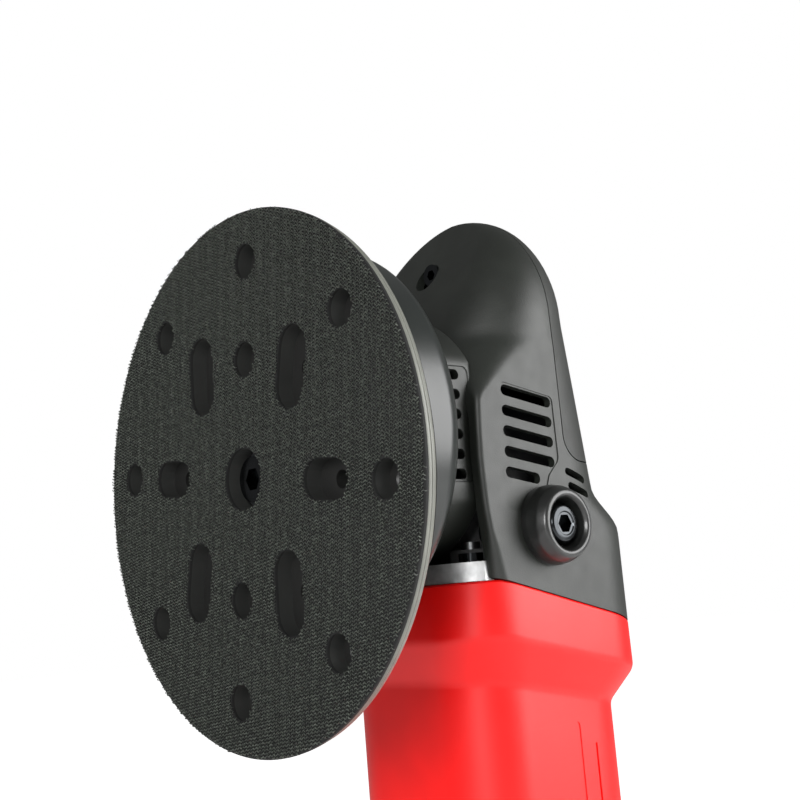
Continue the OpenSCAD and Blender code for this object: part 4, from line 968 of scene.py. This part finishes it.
class POLISHER_OT_trigger_spring(bpy.types.Operator):
    """Coil spring behind the trigger, built at one fixed length in the CAD spring's box, though the real spring
    shortens as the trigger is pulled
    """
    bl_idname = "polisher.trigger_spring"
    bl_label = "Trigger spring"

    def execute(self, context):
        low, high = (Vector(corner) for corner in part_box("trigger_spring"))
        middle = (low + high) / 2
        wire, turns, steps, sides = 0.35 * MM, 6, 24, 8
        radius = (high.x - low.x) / 2 - wire
        verts, faces = [], []
        for k in range(turns * steps + 1):
            t = 2 * math.pi * k / steps
            out = Vector((math.cos(t), 0, math.sin(t)))
            centre = Vector((middle.x, low.y + wire + (high.y - low.y - 2 * wire) * k / (turns * steps), middle.z))
            for i in range(sides):
                a = 2 * math.pi * i / sides
                verts.append(centre + out * (radius + wire * math.cos(a)) + Vector((0, wire * math.sin(a), 0)))
        for k in range(turns * steps):
            for i in range(sides):
                j = (i + 1) % sides
                faces.append((k * sides + i, k * sides + j, (k + 1) * sides + j, (k + 1) * sides + i))
        faces.append(tuple(range(sides))[::-1])
        faces.append(tuple(turns * steps * sides + i for i in range(sides)))
        piece = build("trigger_coil", verts, faces, 60)
        dress(piece, "plated_steel", None, "trigger_spring")
        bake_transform(piece)
        return {"FINISHED"}


# ---------------------------------------------------------------- the remaining CAD nodes

class POLISHER_OT_frame_finishes(bpy.types.Operator):
    """Finishes of every CAD node that shows with its own shape"""
    bl_idname = "polisher.frame_finishes"
    bl_label = "Finishes of the frame's pieces"

    def execute(self, context):
        for name, node in frame["nodes"].items():
            material = finish(NODE_SLOT[name])
            for slot in node.material_slots:
                slot.link = "OBJECT"
                slot.material = material
        return {"FINISHED"}


# ---------------------------------------------------------------- stage

class POLISHER_OT_stage(bpy.types.Operator):
    """Pale floor, soft studio light and the camera"""
    bl_idname = "polisher.stage"
    bl_label = "Stage"

    def execute(self, context):
        stage = settings().stage
        scene = context.scene
        scene.view_settings.view_transform = "Standard"
        self.camera(scene, stage)
        self.floor(stage)
        self.world(scene, stage)
        aim = at_head(0, 70, 0)
        self.area("side", aim, Vector((0.79, 0.59, 0.18)), 0.9, 0.8, stage.key)
        self.area("front", aim, Vector((0.55, -0.85, 0.22)), 1.2, 0.6, stage.fill)
        return {"FINISHED"}

    @staticmethod
    def camera(scene, stage):
        data = bpy.data.cameras.new("camera")
        data.lens = stage.lens
        data.sensor_width = 36
        data.clip_start = 0.01
        camera = bpy.data.objects.new("camera", data)
        scene.collection.objects.link(camera)
        forward = Vector((-math.sin(stage.pan) * math.cos(stage.tilt), math.cos(stage.pan) * math.cos(stage.tilt),
                          math.sin(stage.tilt)))
        level = forward.cross(Vector((0, 0, 1))).normalized()
        up = level.cross(forward)
        right = level * math.cos(stage.roll) + up * math.sin(stage.roll)
        rise = right.cross(forward)
        turn = Matrix((right, rise, -forward)).transposed().to_4x4()
        from_pad = Vector((281.3, -187.5, -35.5)) * MM
        place = PAD_AXIS + from_pad
        camera.matrix_world = Matrix.Translation(place) @ turn
        scene.camera = camera

    @staticmethod
    def floor(stage):
        half = 6.0
        mesh = bpy.data.meshes.new("floor")
        mesh.from_pydata([(-half, -half, 0), (half, -half, 0), (half, half, 0), (-half, half, 0)], [], [(0, 1, 2, 3)])
        floor = bpy.data.objects.new("floor", mesh)
        bpy.context.scene.collection.objects.link(floor)
        material, tree, shader = new_material("painted_floor")  # glows more to the camera, so it shows white
        shader.inputs["Base Color"].default_value = stage.backdrop
        shader.inputs["Roughness"].default_value = 0.9
        shader.inputs["Emission Color"].default_value = stage.backdrop
        path = add(tree, "ShaderNodeLightPath")
        lit, seen = 0.15, 0.9
        glow = add(tree, "ShaderNodeMapRange", {"To Min": lit, "To Max": seen},
                   {"Value": path.outputs["Is Camera Ray"]})
        tree.links.new(glow.outputs["Result"], shader.inputs["Emission Strength"])
        floor.data.materials.append(material)

    @staticmethod
    def world(scene, stage):
        world = bpy.data.worlds.new("studio")
        world.use_nodes = True
        scene.world = world
        tree = world.node_tree
        tree.nodes.clear()
        seen = add(tree, "ShaderNodeBackground", {"Color": stage.backdrop, "Strength": 1.0})
        lit = add(tree, "ShaderNodeBackground", {"Color": stage.backdrop, "Strength": stage.ambient})
        path = add(tree, "ShaderNodeLightPath")
        mix = add(tree, "ShaderNodeMixShader", {}, {0: path.outputs["Is Camera Ray"], 1: lit.outputs[0],
                                                    2: seen.outputs[0]})
        add(tree, "ShaderNodeOutputWorld", {}, {"Surface": mix.outputs[0]})

    @staticmethod
    def area(name, aim, direction, distance, width, power):
        """Round soft light at a distance from its aim, in metres."""
        place = aim + direction * distance
        data = bpy.data.lights.new(name, "AREA")
        data.shape = "DISK"
        data.size = width
        data.energy = power
        light = bpy.data.objects.new(name, data)
        bpy.context.scene.collection.objects.link(light)
        light.matrix_world = Matrix.Translation(place) @ (aim - place).to_track_quat("-Z", "Y").to_matrix().to_4x4()


# ---------------------------------------------------------------- add-on

class PolisherSettings(bpy.types.PropertyGroup):
    pad: PointerProperty(type=PolisherPadSettings)
    head: PointerProperty(type=PolisherHeadSettings)
    body: PointerProperty(type=PolisherBodySettings)
    handle: PointerProperty(type=PolisherHandleSettings)
    stage: PointerProperty(type=PolisherStageSettings)


PIECES = (POLISHER_OT_stage, POLISHER_OT_hook_face, POLISHER_OT_pad_cushion, POLISHER_OT_shroud,
          POLISHER_OT_vent_collar, POLISHER_OT_head_cover, POLISHER_OT_side_fittings, POLISHER_OT_motor_housing,
          POLISHER_OT_trigger_spring, POLISHER_OT_frame_finishes)


class POLISHER_PT_panel(bpy.types.Panel):
    bl_label = "Dual action polisher"
    bl_idname = "POLISHER_PT_panel"
    bl_space_type = "VIEW_3D"
    bl_region_type = "UI"
    bl_category = "Polisher"

    def draw(self, context):
        for piece in PIECES:
            self.layout.operator(piece.bl_idname)
        for group in ("pad", "head", "body", "handle", "stage"):
            box = self.layout.box()
            values = getattr(context.scene.polisher, group)
            for key in values.__annotations__:
                box.prop(values, key)


CLASSES = (PolisherPadSettings, PolisherHeadSettings, PolisherBodySettings, PolisherHandleSettings,
           PolisherStageSettings, PolisherSettings) + PIECES + (POLISHER_PT_panel,)


def register():
    for cls in CLASSES:
        bpy.utils.register_class(cls)
    bpy.types.Scene.polisher = PointerProperty(type=PolisherSettings)


def unregister():
    del bpy.types.Scene.polisher
    for cls in reversed(CLASSES):
        bpy.utils.unregister_class(cls)


def main():
    register()
    for piece in PIECES:
        group, name = piece.bl_idname.split(".")
        getattr(getattr(bpy.ops, group), name)()


if __name__ == "__main__":
    main()
